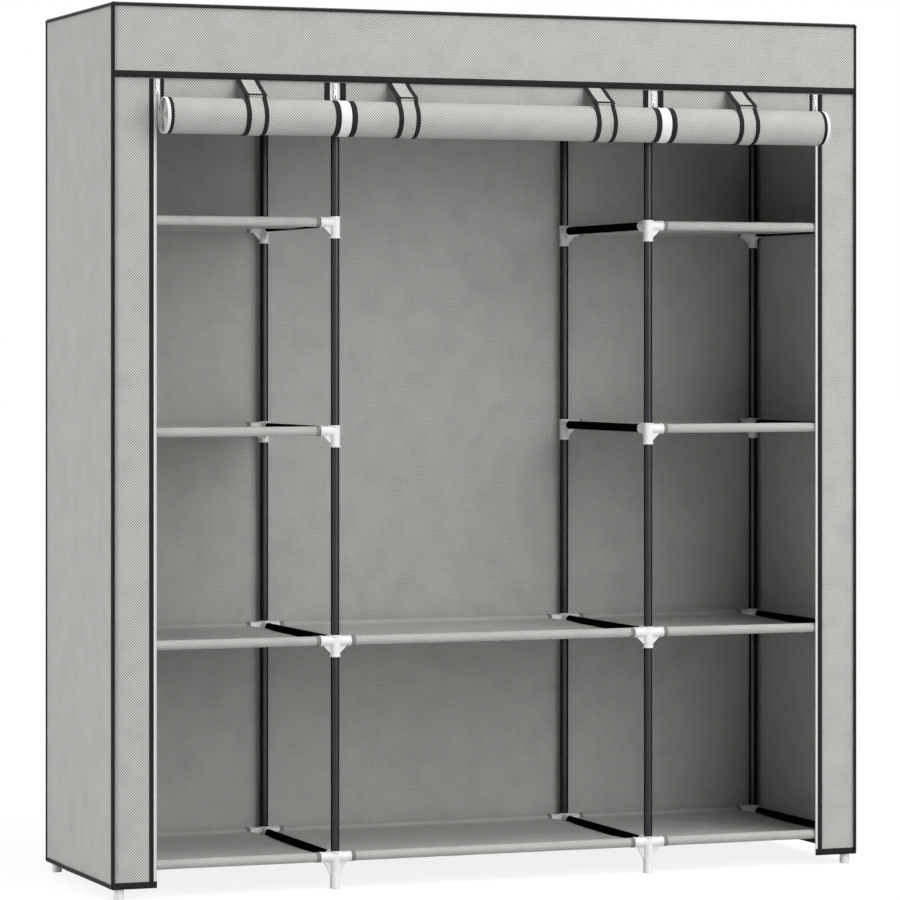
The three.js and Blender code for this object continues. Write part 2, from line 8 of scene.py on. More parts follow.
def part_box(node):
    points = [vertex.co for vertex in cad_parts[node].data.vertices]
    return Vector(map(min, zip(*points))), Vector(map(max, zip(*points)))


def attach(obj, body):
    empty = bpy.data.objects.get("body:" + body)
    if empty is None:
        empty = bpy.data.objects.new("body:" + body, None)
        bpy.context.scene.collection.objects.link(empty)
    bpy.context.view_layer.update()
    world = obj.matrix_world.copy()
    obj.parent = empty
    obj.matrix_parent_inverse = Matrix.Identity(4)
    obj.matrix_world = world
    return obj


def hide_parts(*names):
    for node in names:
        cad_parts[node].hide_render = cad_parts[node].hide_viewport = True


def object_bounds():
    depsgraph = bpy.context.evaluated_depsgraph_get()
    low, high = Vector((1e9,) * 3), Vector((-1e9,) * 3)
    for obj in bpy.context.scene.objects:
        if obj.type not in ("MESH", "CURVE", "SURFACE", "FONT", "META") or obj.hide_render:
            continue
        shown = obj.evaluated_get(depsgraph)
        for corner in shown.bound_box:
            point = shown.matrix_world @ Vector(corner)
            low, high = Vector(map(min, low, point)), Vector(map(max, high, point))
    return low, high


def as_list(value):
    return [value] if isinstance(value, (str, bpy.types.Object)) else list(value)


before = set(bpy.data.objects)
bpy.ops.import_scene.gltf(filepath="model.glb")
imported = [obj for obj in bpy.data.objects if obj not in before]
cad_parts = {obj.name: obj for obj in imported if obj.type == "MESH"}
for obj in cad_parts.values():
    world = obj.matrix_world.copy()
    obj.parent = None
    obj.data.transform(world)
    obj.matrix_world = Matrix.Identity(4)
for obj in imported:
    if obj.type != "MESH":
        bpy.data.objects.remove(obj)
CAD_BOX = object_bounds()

bl_info = {
    "name": "Portable fabric wardrobe",
    "version": (1, 0, 0),
    "blender": (4, 5, 0),
    "location": "View3D > Sidebar > Wardrobe",
    "description": "Makes the tubes, connectors, shelves, cover, doors, zips and straps of a cloth wardrobe",
    "category": "Object",
}

MM = 0.001
ORIGIN, X, Y, Z = Vector(), Vector((1, 0, 0)), Vector((0, 1, 0)), Vector((0, 0, 1))
ROOT = "wardrobe"
SIDES = (("left", -1), ("right", 1))


def low(node):
    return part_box(node)[0]


def high(node):
    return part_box(node)[1]


def centre(node):
    return (low(node) + high(node)) / 2


# Places of the frame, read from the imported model. Lines of posts run left to right.
POST_NAMES = ("left_outer", "left_inner", "right_inner", "right_outer")
POST_X = [centre(f"upright_front_{name}").x for name in POST_NAMES]
FRONT_Y = centre("upright_front_left_outer").y
BACK_Y = centre("upright_back_left_outer").y
HUB_RADIUS = 9.8 * MM
ARM_RADIUS = 9.3 * MM
SOCKET_GRIP = 20 * MM
LEVELS = [centre(f"shelf_left_{level}").z for level in range(1, 5)]
LEVELS.append(high("top_frame").z - HUB_RADIUS)
TOP = len(LEVELS) - 1
# Each bay has its first and last post, and its number of shelves.
BAYS = {"left": (0, 1, 4), "centre": (1, 2, 2), "right": (2, 3, 4)}
# Each node of rails and connectors has its level, and its first and last post.
BAY_FRAMES = [(f"{side}_bay_frame_{level + 1}", level, *BAYS[side][:2])
              for side, _ in SIDES for level in range(TOP)] + [("top_frame", TOP, 0, 3)]

# Places of the cover. The facade is the plane of the front strips and of the doors.
COVER_LOW, COVER_HIGH = low("cover_side_left"), high("cover_top")
COVER_HIGH.x = high("cover_side_right").x
HEM_Z = COVER_LOW.z
ROOF_Z = low("cover_top").z
VALANCE_Z = low("cover_valance").z
FACADE_Y = centre("cover_strip_left").y
STRIP_EDGE_X = -high("cover_strip_left").x
ZIPS = {name: centre(f"slider_{name}").x for name in POST_NAMES}
ROLL_RADIUS = 33 * MM
ROLL_Y = low("door_left").y + ROLL_RADIUS
ROLL_Z = low("door_left").z + ROLL_RADIUS


def linear(code):
    """Linear red, green and blue of an sRGB hex colour."""
    shades = [int(code[i:i + 2], 16) / 255 for i in (1, 3, 5)]
    return tuple(s / 12.92 if s <= 0.04045 else ((s + 0.055) / 1.055) ** 2.4 for s in shades)


def number_field(label, text, value, unit="LENGTH"):
    return bpy.props.FloatProperty(name=label, description=text, default=value, unit=unit)


def colour_field(label, text, code):
    return bpy.props.FloatVectorProperty(
        name=label, description=text, default=linear(code), subtype="COLOR", size=3)


class FrameSettings(bpy.types.PropertyGroup):
    """Sizes and colours of the tubes and connectors."""
    tube_radius: number_field("Tube radius", "Outside radius of a steel tube", 8 * MM)
    tube_wall: number_field("Tube wall", "Wall of a steel tube", 0.7 * MM)
    arm_length: number_field("Arm length", "Reach of a connector's arm from the post's middle", 30 * MM)
    socket_drop: number_field("Socket drop", "Reach of a connector's socket below the rails", 30.2 * MM)
    rim: number_field("Rim", "How far a socket's rim stands proud", 0.9 * MM)
    steel: colour_field("Steel", "Powder coat of the tubes", "#37373a")
    plastic: colour_field("Plastic", "Moulded plastic of the connectors", "#ededee")


class ClothSettings(bpy.types.PropertyGroup):
    """Sizes and colours of the cover, the doors and the shelves."""
    thickness: number_field("Cloth", "Thickness of the non-woven cloth", 0.8 * MM)
    emboss_pitch: number_field("Emboss pitch", "Distance between embossed dots in a row", 5.2 * MM)
    wrinkle: number_field("Wrinkle", "Height of the cover's soft wrinkles", 3.4 * MM)
    shelf_sag: number_field("Shelf sag", "How far a shelf hangs down in its middle", 7 * MM)
    roll_pitch: number_field("Roll pitch", "Distance between the turns of a rolled door", 2.6 * MM)
    stitch_pitch: number_field("Stitch pitch", "Distance between stitches", 4.5 * MM)
    strap_width: number_field("Strap width", "Width of a door strap", 42.5 * MM)
    cloth: colour_field("Cloth colour", "Grey of the non-woven cloth", "#b4b4b1")
    binding: colour_field("Binding colour", "Black of the bindings", "#1d1d1e")


class ZipSettings(bpy.types.PropertyGroup):
    """Sizes and colours of the zips."""
    tooth_pitch: number_field("Tooth pitch", "Distance between turns of the coil", 2.4 * MM)
    tape: colour_field("Tape", "White of the zip tapes", "#f0f0ef")
    coil: colour_field("Coil", "Nylon of the zip's teeth", "#d6d6d5")
    metal: colour_field("Metal", "Nickel of sliders and pull tabs", "#b2b3b6")


class StageSettings(bpy.types.PropertyGroup):
    """The photographer's lights."""
    key: number_field("Key light", "Light from the round screen at the front right", 1.66, "NONE")
    fill: number_field("Fill light", "Strength of the soft light from the left", 1.84, "NONE")
    top: number_field("Top light", "Strength of the soft light from above", 1.7, "NONE")
    ambient: number_field("Ambient", "Strength of the even light all round", 0.14, "NONE")


# Nodes and materials

def set_inputs(tree, node, inputs):
    """Gives a node its inputs. Each is a value, or a socket that it is linked from."""
    for key, value in inputs.items():
        if isinstance(value, bpy.types.NodeSocket):
            tree.links.new(value, node.inputs[key])
        else:
            node.inputs[key].default_value = value


def add_node(tree, kind, inputs=(), **settings):
    """Adds a node with its settings and its inputs, in order or by name, and gives its outputs."""
    made = tree.nodes.new(kind)
    for name, value in settings.items():
        setattr(made, name, value)
    set_inputs(tree, made, inputs if isinstance(inputs, dict) else dict(enumerate(inputs)))
    return made.outputs


def weighed(tree, start, *parts):
    """A start plus values times their weights."""
    total = start
    for value, weight in parts:
        total = add_node(tree, "ShaderNodeMath", (value, weight, total), operation="MULTIPLY_ADD")[0]
    return total


def wave(tree, value, period):
    """A sine of a measure in metres, from -1 to 1."""
    turned = weighed(tree, 0, (value, 2 * math.pi / period))
    return add_node(tree, "ShaderNodeMath", (turned,), operation="SINE")[0]


def seen_rays(tree):
    """1 where the lens, gloss or glass looks, and 0 for the rays that carry light."""
    path = add_node(tree, "ShaderNodeLightPath")
    seen = path["Is Camera Ray"]
    for ray in ("Is Glossy Ray", "Is Transmission Ray"):
        seen = add_node(tree, "ShaderNodeMath", (seen, path[ray]), operation="MAXIMUM")[0]
    return seen


# Each maker is given its tree, the flat cloth's coordinates and its noises. It gives back a shade
# with the darkest and lightest tint that it chooses between, a relief with its depth, and the
# shader's other inputs.

def nonwoven_cloth(tree, flat, fibres, clouds):
    """Spun-bonded polypropylene cloth, pressed between a smooth and a dotted roller. The dots make
    a fine diamond lattice, and the loose fibres between them a dull, slightly cloudy face."""
    turned = add_node(tree, "ShaderNodeMapping", {
        "Vector": flat, "Rotation": (0, 0, math.radians(45))})[0]
    parts = add_node(tree, "ShaderNodeSeparateXYZ", (turned,))
    # The real dots lie about 2 mm apart. They are drawn more than twice as coarse, to show at all.
    side = bpy.context.scene.wardrobe_cloth.emboss_pitch / math.sqrt(2)
    lattice = weighed(tree, 0, (wave(tree, parts[0], side), 1), (wave(tree, parts[1], side), 1))
    dots = add_node(tree, "ShaderNodeMapRange", {"Value": lattice, "From Min": -0.5, "From Max": 1.1},
                    interpolation_type="SMOOTHSTEP")[0]
    shade = weighed(tree, 0.75, (dots, -0.85), (fibres, 0.2), (clouds, 0.34))
    rough = add_node(tree, "ShaderNodeMapRange", {"Value": dots, "To Min": 0.95, "To Max": 0.78})[0]
    return (shade, 0.3, 1.36), (weighed(tree, 0, (dots, -1), (fibres, 0.35)), 0.16 * MM), {
        "Roughness": rough, "Sheen Weight": 0.08, "Specular IOR Level": 0.3}


def bias_binding(tree, flat, lint):
    """Woven polyester tape, folded over a raw edge: close ribs across it and a slight sheen."""
    parts = add_node(tree, "ShaderNodeSeparateXYZ", (flat,))
    # Threads of 0.5 mm are drawn 1.3 mm apart, so that the twill shows.
    diagonal = weighed(tree, parts[0], (parts[1], 1))
    twill = weighed(tree, 0.5, (wave(tree, diagonal, 1.3 * MM), 0.5))
    shade = weighed(tree, 0, (lint, 0.5), (twill, 0.55))
    return (shade, 0.7, 1.5), (twill, 0.12 * MM), {
        "Roughness": 0.75, "Specular IOR Level": 0.15, "Sheen Weight": 0.03}


def powder_coated_steel(tree, flat, peel, wear):
    """Drawn steel tube with a baked black powder coat, whose metal flakes gleam where they face
    the light and go black towards the tube's edges. It has a fine orange-peel skin."""
    rough = add_node(tree, "ShaderNodeMapRange", {"Value": wear, "To Min": 0.26, "To Max": 0.34})[0]
    return (wear, 0.8, 1.3), (peel, 0.02 * MM), {
        "Roughness": rough, "Metallic": 1, "Specular Tint": (0.1, 0.1, 0.1, 1)}


def moulded_polypropylene(tree, flat, flow, grain):
    """Injection-moulded polypropylene: milky white, satin, with faint flow marks."""
    rough = add_node(tree, "ShaderNodeMapRange", {"Value": grain, "To Min": 0.36, "To Max": 0.5})[0]
    return (flow, 0.95, 1.03), (grain, 0.02 * MM), {"Roughness": rough, "IOR": 1.49}


def woven_zip_tape(tree, flat, lint):
    """Woven polyester zip tape: fine lengthwise ribs with a herringbone step, dull white."""
    parts = add_node(tree, "ShaderNodeSeparateXYZ", (flat,))
    # Ribs and picks of 0.4 mm are drawn 1.2 and 0.9 mm apart, so that they show.
    picks = weighed(tree, 0.5, (wave(tree, parts[0], 1.2 * MM), 0.5),
                    (wave(tree, parts[1], 0.9 * MM), 0.3))
    shade = weighed(tree, 0, (lint, 0.6), (picks, 0.4))
    return (shade, 0.88, 1.04), (picks, 0.08 * MM), {"Roughness": 0.82}


def nylon_coil(tree, flat, drawn):
    """Extruded nylon wire wound into teeth: smooth, waxy and a little translucent."""
    return (drawn, 0.92, 1.04), (drawn, 0.03 * MM), {"Roughness": 0.38, "IOR": 1.53}


def plated_zinc(tree, flat, pitting, rubbed):
    """Die-cast zinc, tumbled and nickel-plated: bright, with soft pitting and rub marks."""
    rough = add_node(tree, "ShaderNodeMapRange", {"Value": rubbed, "To Min": 0.2, "To Max": 0.42})[0]
    return (rubbed, 0.86, 1.06), (pitting, 0.03 * MM), {"Roughness": rough, "Metallic": 1}


def sewing_thread(tree, flat, plies):
    """Spun polyester sewing thread: matt, with the twist of its plies."""
    return (plies, 0.75, 1.2), (plies, 0.05 * MM), {"Roughness": 0.8}


def studio_floor(tree, flat, pulp):
    """Matt white paper sweep: it reads white to the lens and to gloss, and keeps soft shadows."""
    seen = seen_rays(tree)
    return (weighed(tree, pulp, (seen, -0.78)), 0.2, 1.5), (pulp, 0), {
        "Roughness": 0.95, "Specular IOR Level": 0.05, "Emission Color": (1, 1, 1, 1),
        "Emission Strength": weighed(tree, 0, (seen, 0.86))}


# Each finish has its material's name, its maker, and its noises: the coordinates that a noise lies
# on, the size of its lumps in millimetres, and its detail.
CLOTH_NOISES = (("UV", 0.9, 4), ("Object", 48, 4))
FINISHES = {
    "cloth": ("nonwoven_polypropylene_grey", nonwoven_cloth, *CLOTH_NOISES),
    "hem_cloth": ("nonwoven_polypropylene_hem", nonwoven_cloth, *CLOTH_NOISES),
    "binding": ("woven_polyester_binding_black", bias_binding, ("Object", 7, 4)),
    "steel": ("powder_coated_steel_black", powder_coated_steel, ("Object", 1.6, 2), ("Object", 35, 4)),
    "plastic": ("moulded_polypropylene_white", moulded_polypropylene,
                ("Object", 14, 3), ("Object", 0.8, 2)),
    "tape": ("woven_zip_tape_white", woven_zip_tape, ("Object", 5, 3)),
    "coil": ("nylon_coil_grey", nylon_coil, ("Object", 2, 2)),
    "metal": ("nickel_plated_zinc", plated_zinc, ("Object", 1.1, 3), ("Object", 6, 4)),
    "dark_thread": ("sewing_thread_black", sewing_thread, ("Object", 0.5, 2)),
    "pale_thread": ("sewing_thread_grey", sewing_thread, ("Object", 0.5, 2)),
    "floor": ("matt_white_paper", studio_floor, ("Object", 3, 3)),
}


def material(key):
    """The wardrobe's material of a kind, made the first time that it is asked for."""
    name, maker, *noises = FINISHES[key]
    if name in bpy.data.materials:
        return bpy.data.materials[name]
    scene = bpy.context.scene
    steelwork, sheets, zips = scene.wardrobe_frame, scene.wardrobe_cloth, scene.wardrobe_zips
    colour = {
        "cloth": sheets.cloth, "hem_cloth": [0.5 * c for c in sheets.cloth], "binding": sheets.binding,
        "steel": steelwork.steel, "plastic": steelwork.plastic, "tape": zips.tape, "coil": zips.coil,
        "metal": zips.metal, "dark_thread": sheets.binding, "pale_thread": linear("#c6c6c2"),
        "floor": linear("#f0f0f0"),
    }[key]
    made = bpy.data.materials.new(name)
    made.use_nodes = True
    tree = made.node_tree
    places = add_node(tree, "ShaderNodeTexCoord")
    lumps = [add_node(tree, "ShaderNodeTexNoise", {
        "Vector": places[where], "Scale": 1 / (size * MM), "Detail": detail})["Fac"]
        for where, size, detail in noises]
    (shade, darkest, lightest), (relief, depth), inputs = maker(tree, places["UV"], *lumps)
    inputs["Base Color"] = add_node(tree, "ShaderNodeMix", {
        0: shade, 6: (*[c * darkest for c in colour], 1),
        7: (*[min(1, c * lightest) for c in colour], 1)}, data_type="RGBA")[2]
    if depth:
        inputs["Normal"] = add_node(tree, "ShaderNodeBump", {"Height": relief, "Distance": depth})[0]
    set_inputs(tree, tree.nodes["Principled BSDF"], inputs)
    return made


# Shapes

def running(points):
    """The distance along a line of points, at each of them."""
    lengths = [0.0]
    for before, after in zip(points, points[1:]):
        lengths.append(lengths[-1] + (after - before).length)
    return lengths


def between(start, end, count):
    """Evenly spaced values from start to end."""
    return [start + (end - start) * i / (count - 1) for i in range(count)]


def flat_vectors(pairs):
    return [Vector((a, b, 0)) for a, b in pairs]


class Form:
    """The points and faces of a piece while it is made, with the flat cloth's measure. Whatever
    adds to it gives the form back."""

    def __init__(self):
        self.points, self.faces, self.corners = [], [], []

    def skin(self, rows, lengths, widths, closed=False, capped=False):
        """Spans rows of points with faces. Lengths measure down the rows and widths along one."""
        base, count = len(self.points), len(rows[0])
        self.points += [point for row in rows for point in row]
        for i in range(len(rows) - 1):
            first, second = base + i * count, base + (i + 1) * count
            for j in range(count if closed else count - 1):
                k = (j + 1) % count
                self.faces.append((first + j, first + k, second + k, second + j))
                self.corners += [(widths[j], lengths[i]), (widths[j + 1], lengths[i]),
                                 (widths[j + 1], lengths[i + 1]), (widths[j], lengths[i + 1])]
        for i in (0, len(rows) - 1) if capped else ():
            self.faces.append(tuple(base + i * count + j for j in range(count)))
            self.corners += [(widths[j], lengths[i]) for j in range(count)]
        return self

    def sweep(self, path, across, out, profile):
        """Draws a closed profile along a path. Its points are offsets across and out."""
        across, out = [side if isinstance(side, list) else [side] * len(path) for side in (across, out)]
        rows = [[p + a * s + n * t for s, t in profile] for p, a, n in zip(path, across, out)]
        return self.skin(rows, running(path), running(flat_vectors([*profile, profile[0]])),
                         closed=True, capped=True)

    def turn(self, profile, start, axis, sides=28, capped=True):
        """Turns a profile of radii and heights round an axis."""
        side = axis.orthogonal().normalized()
        other = axis.cross(side).normalized()
        angles = [2 * math.pi * i / sides for i in range(sides + 1)]
        rows = [[start + axis * h + (side * math.cos(a) + other * math.sin(a)) * r for a in angles[:-1]]
                for r, h in profile]
        radius = max(r for r, _ in profile)
        return self.skin(rows, running(flat_vectors(profile)), [a * radius for a in angles],
                         closed=True, capped=capped)

    def tube(self, start, end, radius, wall):
        """An open tube with a real wall and softened ends."""
        length, shaded_edge = (end - start).length, min(wall / 3, 0.2 * MM)
        ring = [(radius - wall, 0), (radius - shaded_edge, 0), (radius, shaded_edge), (radius, length - shaded_edge),
                (radius - shaded_edge, length), (radius - wall, length), (radius - wall, 0)]
        return self.turn(ring, start, (end - start).normalized(), 32, capped=False)

    def mesh(self, name, is_cloth=False):
        """The finished mesh. A solid's faces are turned outwards, and cloth shades over its folds."""
        data = bpy.data.meshes.new(name)
        data.from_pydata(self.points, [], self.faces)
        flat = data.uv_layers.new(name="flat_cloth")
        flat.data.foreach_set("uv", [value for corner in self.corners for value in corner])
        if not is_cloth:
            joined(data, [data], 0.001 * MM)
        smooth(data, 80 if is_cloth else 40)
        return data


def joined(data, meshes, reach):
    """Fills a mesh with others as one, whose near points are merged and faces turned outwards."""
    work = bmesh.new()
    for mesh in meshes:
        work.from_mesh(mesh)
    bmesh.ops.remove_doubles(work, verts=work.verts, dist=reach)
    bmesh.ops.recalc_face_normals(work, faces=work.faces)
    work.to_mesh(data)
    work.free()


def smooth(data, crease):
    """Shades a mesh smooth, but for edges sharper than a crease in degrees."""
    data.shade_smooth()
    data.set_sharp_from_angle(angle=math.radians(crease))


def merged(name, meshes):
    """Several meshes as one."""
    data = bpy.data.meshes.new(name)
    joined(data, meshes, 0.002 * MM)
    smooth(data, 35)
    return data


def rounded(width, thickness, steps=3):
    """The outline of a flat band with round edges, as offsets across and out."""
    radius = thickness / 2
    turns = [math.pi * i / steps - math.pi / 2 for i in range(steps + 1)]
    return [(sign * (width / 2 - radius + radius * math.cos(a)), sign * radius * math.sin(a))
            for sign in (1, -1) for a in turns]


def place(name, shape, key, slot, replaced=(), thickness=0, body=ROOT):
    """Puts a form or a finished mesh in the scene as a piece of a body."""
    data = shape.mesh(name, is_cloth=thickness > 0) if isinstance(shape, Form) else shape
    piece = helper(name, data)
    if key:
        data.materials.clear()
        data.materials.append(material(key))
    if thickness:
        wall = piece.modifiers.new("cloth_thickness", "SOLIDIFY")
        wall.thickness, wall.offset = thickness, 0
    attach(piece, body)
    if replaced:
        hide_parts(*replaced)
    return piece


def helper(name, data):
    made = bpy.data.objects.new(name, data)
    bpy.context.scene.collection.objects.link(made)
    return made


def evaluated(carrier):
    """The plain mesh of an object with its modifiers, after which the object is removed."""
    graph = bpy.context.evaluated_depsgraph_get()
    data = bpy.data.meshes.new_from_object(carrier.evaluated_get(graph))
    carrier.modifiers.clear()
    bpy.data.objects.remove(carrier)
    return data


def moulded(name, added, cut):
    """One mesh from forms that are joined, less the forms that are cut away."""
    whole = helper(name, added[0].mesh(name))
    tools = []
    for operation, forms in (("UNION", added[1:]), ("DIFFERENCE", cut)):
        for form in forms:
            tools.append(helper("tool", form.mesh("tool")))
            step = whole.modifiers.new(operation.lower(), "BOOLEAN")
            step.operation, step.solver, step.object = operation, "EXACT", tools[-1]
    data = evaluated(whole)
    for tool in tools:
        bpy.data.objects.remove(tool)
    smooth(data, 32)
    return data


def add_band(name, path, across, out, width, thickness, key="binding", slot="cover_cloth"):
    return place(name, Form().sweep(path, across, out, rounded(width, thickness)), key, slot)


# Geometry Nodes trees

def new_tree(name, **sockets):
    """A Geometry Nodes tree with its named inputs, and the outputs of its group input node."""
    tree = bpy.data.node_groups.new(name, "GeometryNodeTree")
    for label, kind in {"Geometry": "Geometry", **sockets, "Material": "Material"}.items():
        tree.interface.new_socket(label, in_out="INPUT", socket_type=f"NodeSocket{kind}")
    tree.interface.new_socket("Geometry", in_out="OUTPUT", socket_type="NodeSocketGeometry")
    return tree, add_node(tree, "NodeGroupInput")


def close_tree(tree, geometry, finish):
    real = add_node(tree, "GeometryNodeRealizeInstances", (geometry,))[0]
    coated = add_node(tree, "GeometryNodeSetMaterial", {"Geometry": real, "Material": finish})[0]
    add_node(tree, "NodeGroupOutput", (coated,))
    return tree


def row_along_line(name):
    """Copies of a small object along lines of points, set by their pitch and turned with the line."""
    tree, given = new_tree(name, Pitch="Float", Item="Object")
    line = add_node(tree, "GeometryNodeMeshToCurve", {"Mesh": given["Geometry"]})[0]
    spaced = add_node(tree, "GeometryNodeResampleCurve", {"Curve": line, "Length": given["Pitch"]},
                      mode="LENGTH")[0]
    tangent = add_node(tree, "GeometryNodeInputTangent")[0]
    turned = add_node(tree, "FunctionNodeAlignRotationToVector", {"Vector": tangent}, axis="X")[0]
    item = add_node(tree, "GeometryNodeObjectInfo", {"Object": given["Item"]})["Geometry"]
    copies = add_node(tree, "GeometryNodeInstanceOnPoints", {
        "Points": spaced, "Instance": item, "Rotation": turned})[0]
    return close_tree(tree, copies, given["Material"])


def connectors_on_posts(name):
    """Connectors at a frame's corners: each point carries its turn and whether it is a tee."""
    tree, given = new_tree(name, Corner="Object", Tee="Object")
    angle, tee = [next(o for o in add_node(tree, "GeometryNodeInputNamedAttribute", {"Name": label},
                                           data_type=kind) if o.enabled and o.name == "Attribute")
                  for label, kind in (("turn", "FLOAT"), ("is_tee", "BOOLEAN"))]
    turned = add_node(tree, "ShaderNodeCombineXYZ", {"Z": angle})[0]
    not_tee = add_node(tree, "FunctionNodeBooleanMath", (tee,), operation="NOT")[0]
    both = add_node(tree, "GeometryNodeJoinGeometry")[0]
    for label, chosen in (("Corner", not_tee), ("Tee", tee)):
        item = add_node(tree, "GeometryNodeObjectInfo", {"Object": given[label]})["Geometry"]
        copies = add_node(tree, "GeometryNodeInstanceOnPoints", {
            "Points": given["Geometry"], "Selection": chosen, "Instance": item, "Rotation": turned})[0]
        tree.links.new(copies, both.node.inputs[0])
    return close_tree(tree, both, given["Material"])


def grown(name, base, rule, **values):
    """The plain mesh that a tree makes from a base mesh. The rule is the function of the tree."""
    carrier = helper(name, base)
    step = carrier.modifiers.new("nodes", "NODES")
    step.node_group = bpy.data.node_groups.get(rule.__name__) or rule(rule.__name__)
    for item in step.node_group.interface.items_tree:
        if item.in_out == "INPUT" and item.name in values:
            step[item.identifier] = values[item.name]
    return evaluated(carrier)


def grown_rows(name, lines, turned, pitch, key):
    """Copies of a small mesh along lines of points."""
    points, edges = [], []
    for line in lines:
        edges += [(len(points) + i, len(points) + i + 1) for i in range(len(line) - 1)]
        points += line
    base = bpy.data.meshes.new(name)
    base.from_pydata(points, edges, [])
    item = helper("item", turned)
    data = grown(name, base, row_along_line, Pitch=pitch, Item=item, Material=material(key))
    bpy.data.objects.remove(item)
    return data


def stitches(name, lines, key="dark_thread", slot="cover_cloth"):
    """Rows of stitches along lines of points."""
    pitch = bpy.context.scene.wardrobe_cloth.stitch_pitch
    thread, half = 0.24 * MM, 0.34 * pitch
    bead = Form().turn([(0.1 * thread, -half), (thread, -half * 0.7), (thread, half * 0.7),
                        (0.1 * thread, half)], ORIGIN, X, 6)
    data = grown_rows(name, lines, bead.mesh("stitch"), pitch, key)
    data.shade_smooth()
    return place(name, data, None, slot)


# Frame

def add_tubes(name, runs, node):
    """Steel tubes between pairs of places, as one piece."""
    settings = bpy.context.scene.wardrobe_frame
    form = Form()
    for start, end in runs:
        form.tube(Vector(start), Vector(end), settings.tube_radius, settings.tube_wall)
    place(name, form, "steel", "frame_steel", [node])


class WARDROBE_OT_tubes(bpy.types.Operator):
    """Makes the steel tubes: four lengths in each post, and the rails of each level"""
    bl_idname = "wardrobe.tubes"
    bl_label = "Steel tubes"

    def execute(self, context):
        joint = 0.5 * MM
        for depth, y in (("front", FRONT_Y), ("back", BACK_Y)):
            for name, x in zip(POST_NAMES, POST_X):
                node = f"upright_{depth}_{name}"
                feet = [low(node).z] + [z + joint for z in LEVELS[1:TOP]]
                runs = [((x, y, z), (x, y, up - joint)) for z, up in zip(feet, LEVELS[1:])]
                add_tubes(f"post_tubes_{depth}_{name}", runs, node)
            for level in range(BAYS["centre"][2]):
                node, z = f"centre_rail_{depth}_{level + 1}", LEVELS[level]
                run = ((low(node).x, y, z), (high(node).x, y, z))
                add_tubes(f"centre_rail_tube_{depth}_{level + 1}", [run], node)
        reach = context.scene.wardrobe_frame.arm_length - SOCKET_GRIP
        for node, level, first, last in BAY_FRAMES:
            z, posts = LEVELS[level], POST_X[first:last + 1]
            runs = [((x, FRONT_Y + reach, z), (x, BACK_Y - reach, z)) for x in posts]
            runs += [((a + reach, y, z), (b - reach, y, z))
                     for y in (FRONT_Y, BACK_Y) for a, b in zip(posts, posts[1:])]
            add_tubes(f"rail_tubes_{node}", runs, node)
        return {"FINISHED"}


def bored(radius, start, mouth):
    """The profile of a socket's bore, which flares at its mouth and runs on past it."""
    flare, lead, past, overrun = radius + 0.7 * MM, 1 * MM, 0.2 * MM, 5 * MM
    return [(radius, start), (radius, mouth - lead), (flare, mouth + past), (flare, mouth + overrun)]


def connector(name, arms, kind):
    """One connector round the origin: arms along the given directions, and a socket downwards."""
    settings = bpy.context.scene.wardrobe_frame
    r, rim = (HUB_RADIUS, 0) if kind == "top" else (ARM_RADIUS, settings.rim)
    wall, long, proud = settings.tube_wall, settings.arm_length, r + settings.rim
    slip, lip, step, soft = 0.15 * MM, 3.2 * MM, 0.5 * MM, 0.6 * MM
    collar_tall, band = 1.3 * MM, 2.5 * MM
    bore, collar = settings.tube_radius + slip, r + collar_tall
    cap = [(r, collar - band - step), (r + rim, collar - band), (r + rim, collar - soft),
           (r + rim - soft, collar)]
    if kind == "foot":
        drop, sole, gusset_drop = LEVELS[0], 9.4 * MM, 34 * MM
        groove, groove_tall = 9 * MM, 1 * MM
        root = [(sole - 2 * soft, -drop), (sole, -drop + 1.2 * soft), (sole, -drop + groove),
                (sole - 0.5 * soft, -drop + groove + groove_tall), (sole, -r), (r, 0)]
    else:
        drop, gusset_drop = settings.socket_drop, 24 * MM
        root = [(proud - soft, -drop), (proud, -drop + soft), (proud, -drop + lip),
                (r, -drop + lip + step)]
    if kind == "top":
        cap = [(r, r - 2 * soft), (r - 0.6 * soft, r - 0.6 * soft), (r - 2 * soft, r)]
    added, cut = [Form().turn(root + cap, ORIGIN, Z)], []
    # A moulded arm has a rolled rim at its mouth, and a gusset below it.
    arm = [(ARM_RADIUS, 0), (ARM_RADIUS, long - lip - step), (ARM_RADIUS + rim, long - lip),
           (ARM_RADIUS + rim, long - step), (ARM_RADIUS + rim - step, long)]
    reach, half, shaded_edge = 24 * MM, 1.75 * MM, 0.4 * MM
    clear, slant, belly = 1 * MM, 2 * MM, 1.2 * MM
    outline = [(0, -gusset_drop - 2 * half), (0, -wall), (reach, -wall), (reach, -r + wall),
               (reach - slant, -r - belly), (r + clear, -gusset_drop + slant),
               (r - wall, -gusset_drop)]
    for direction in arms:
        across = direction.cross(Z)
        rows = [[across * side + direction * max(0, a - inset) + Z * (h + inset if a else h)
                 for a, h in outline]
                for side, inset in ((-half, shaded_edge), (-half + shaded_edge, 0), (half - shaded_edge, 0), (half, shaded_edge))]
        gusset = Form().skin(rows, [0, half, 2 * half, 3 * half], between(0, reach, len(outline) + 1),
                             closed=True, capped=True)
        added += [Form().turn(arm, ORIGIN, direction), gusset]
        cut.append(Form().turn(bored(bore, r + clear, long), ORIGIN, direction))
    # The bores of the post's two sockets end on a thin floor at the connector's middle.
    stop = 1.2 * MM
    if kind != "foot":
        lower = [(radius, -h) for radius, h in reversed(bored(bore, stop, drop))]
        cut.append(Form().turn(lower, ORIGIN, Z))
    if kind != "top":
        cut.append(Form().turn(bored(bore, stop, collar), ORIGIN, Z))
    return moulded(name, added, cut)


# A connector's turn, by the sides on which its arms lie to the right and to the back.
TURNS = {(1, 1): 0.0, (1, -1): -math.pi / 2, (-1, 1): math.pi / 2, (-1, -1): math.pi}


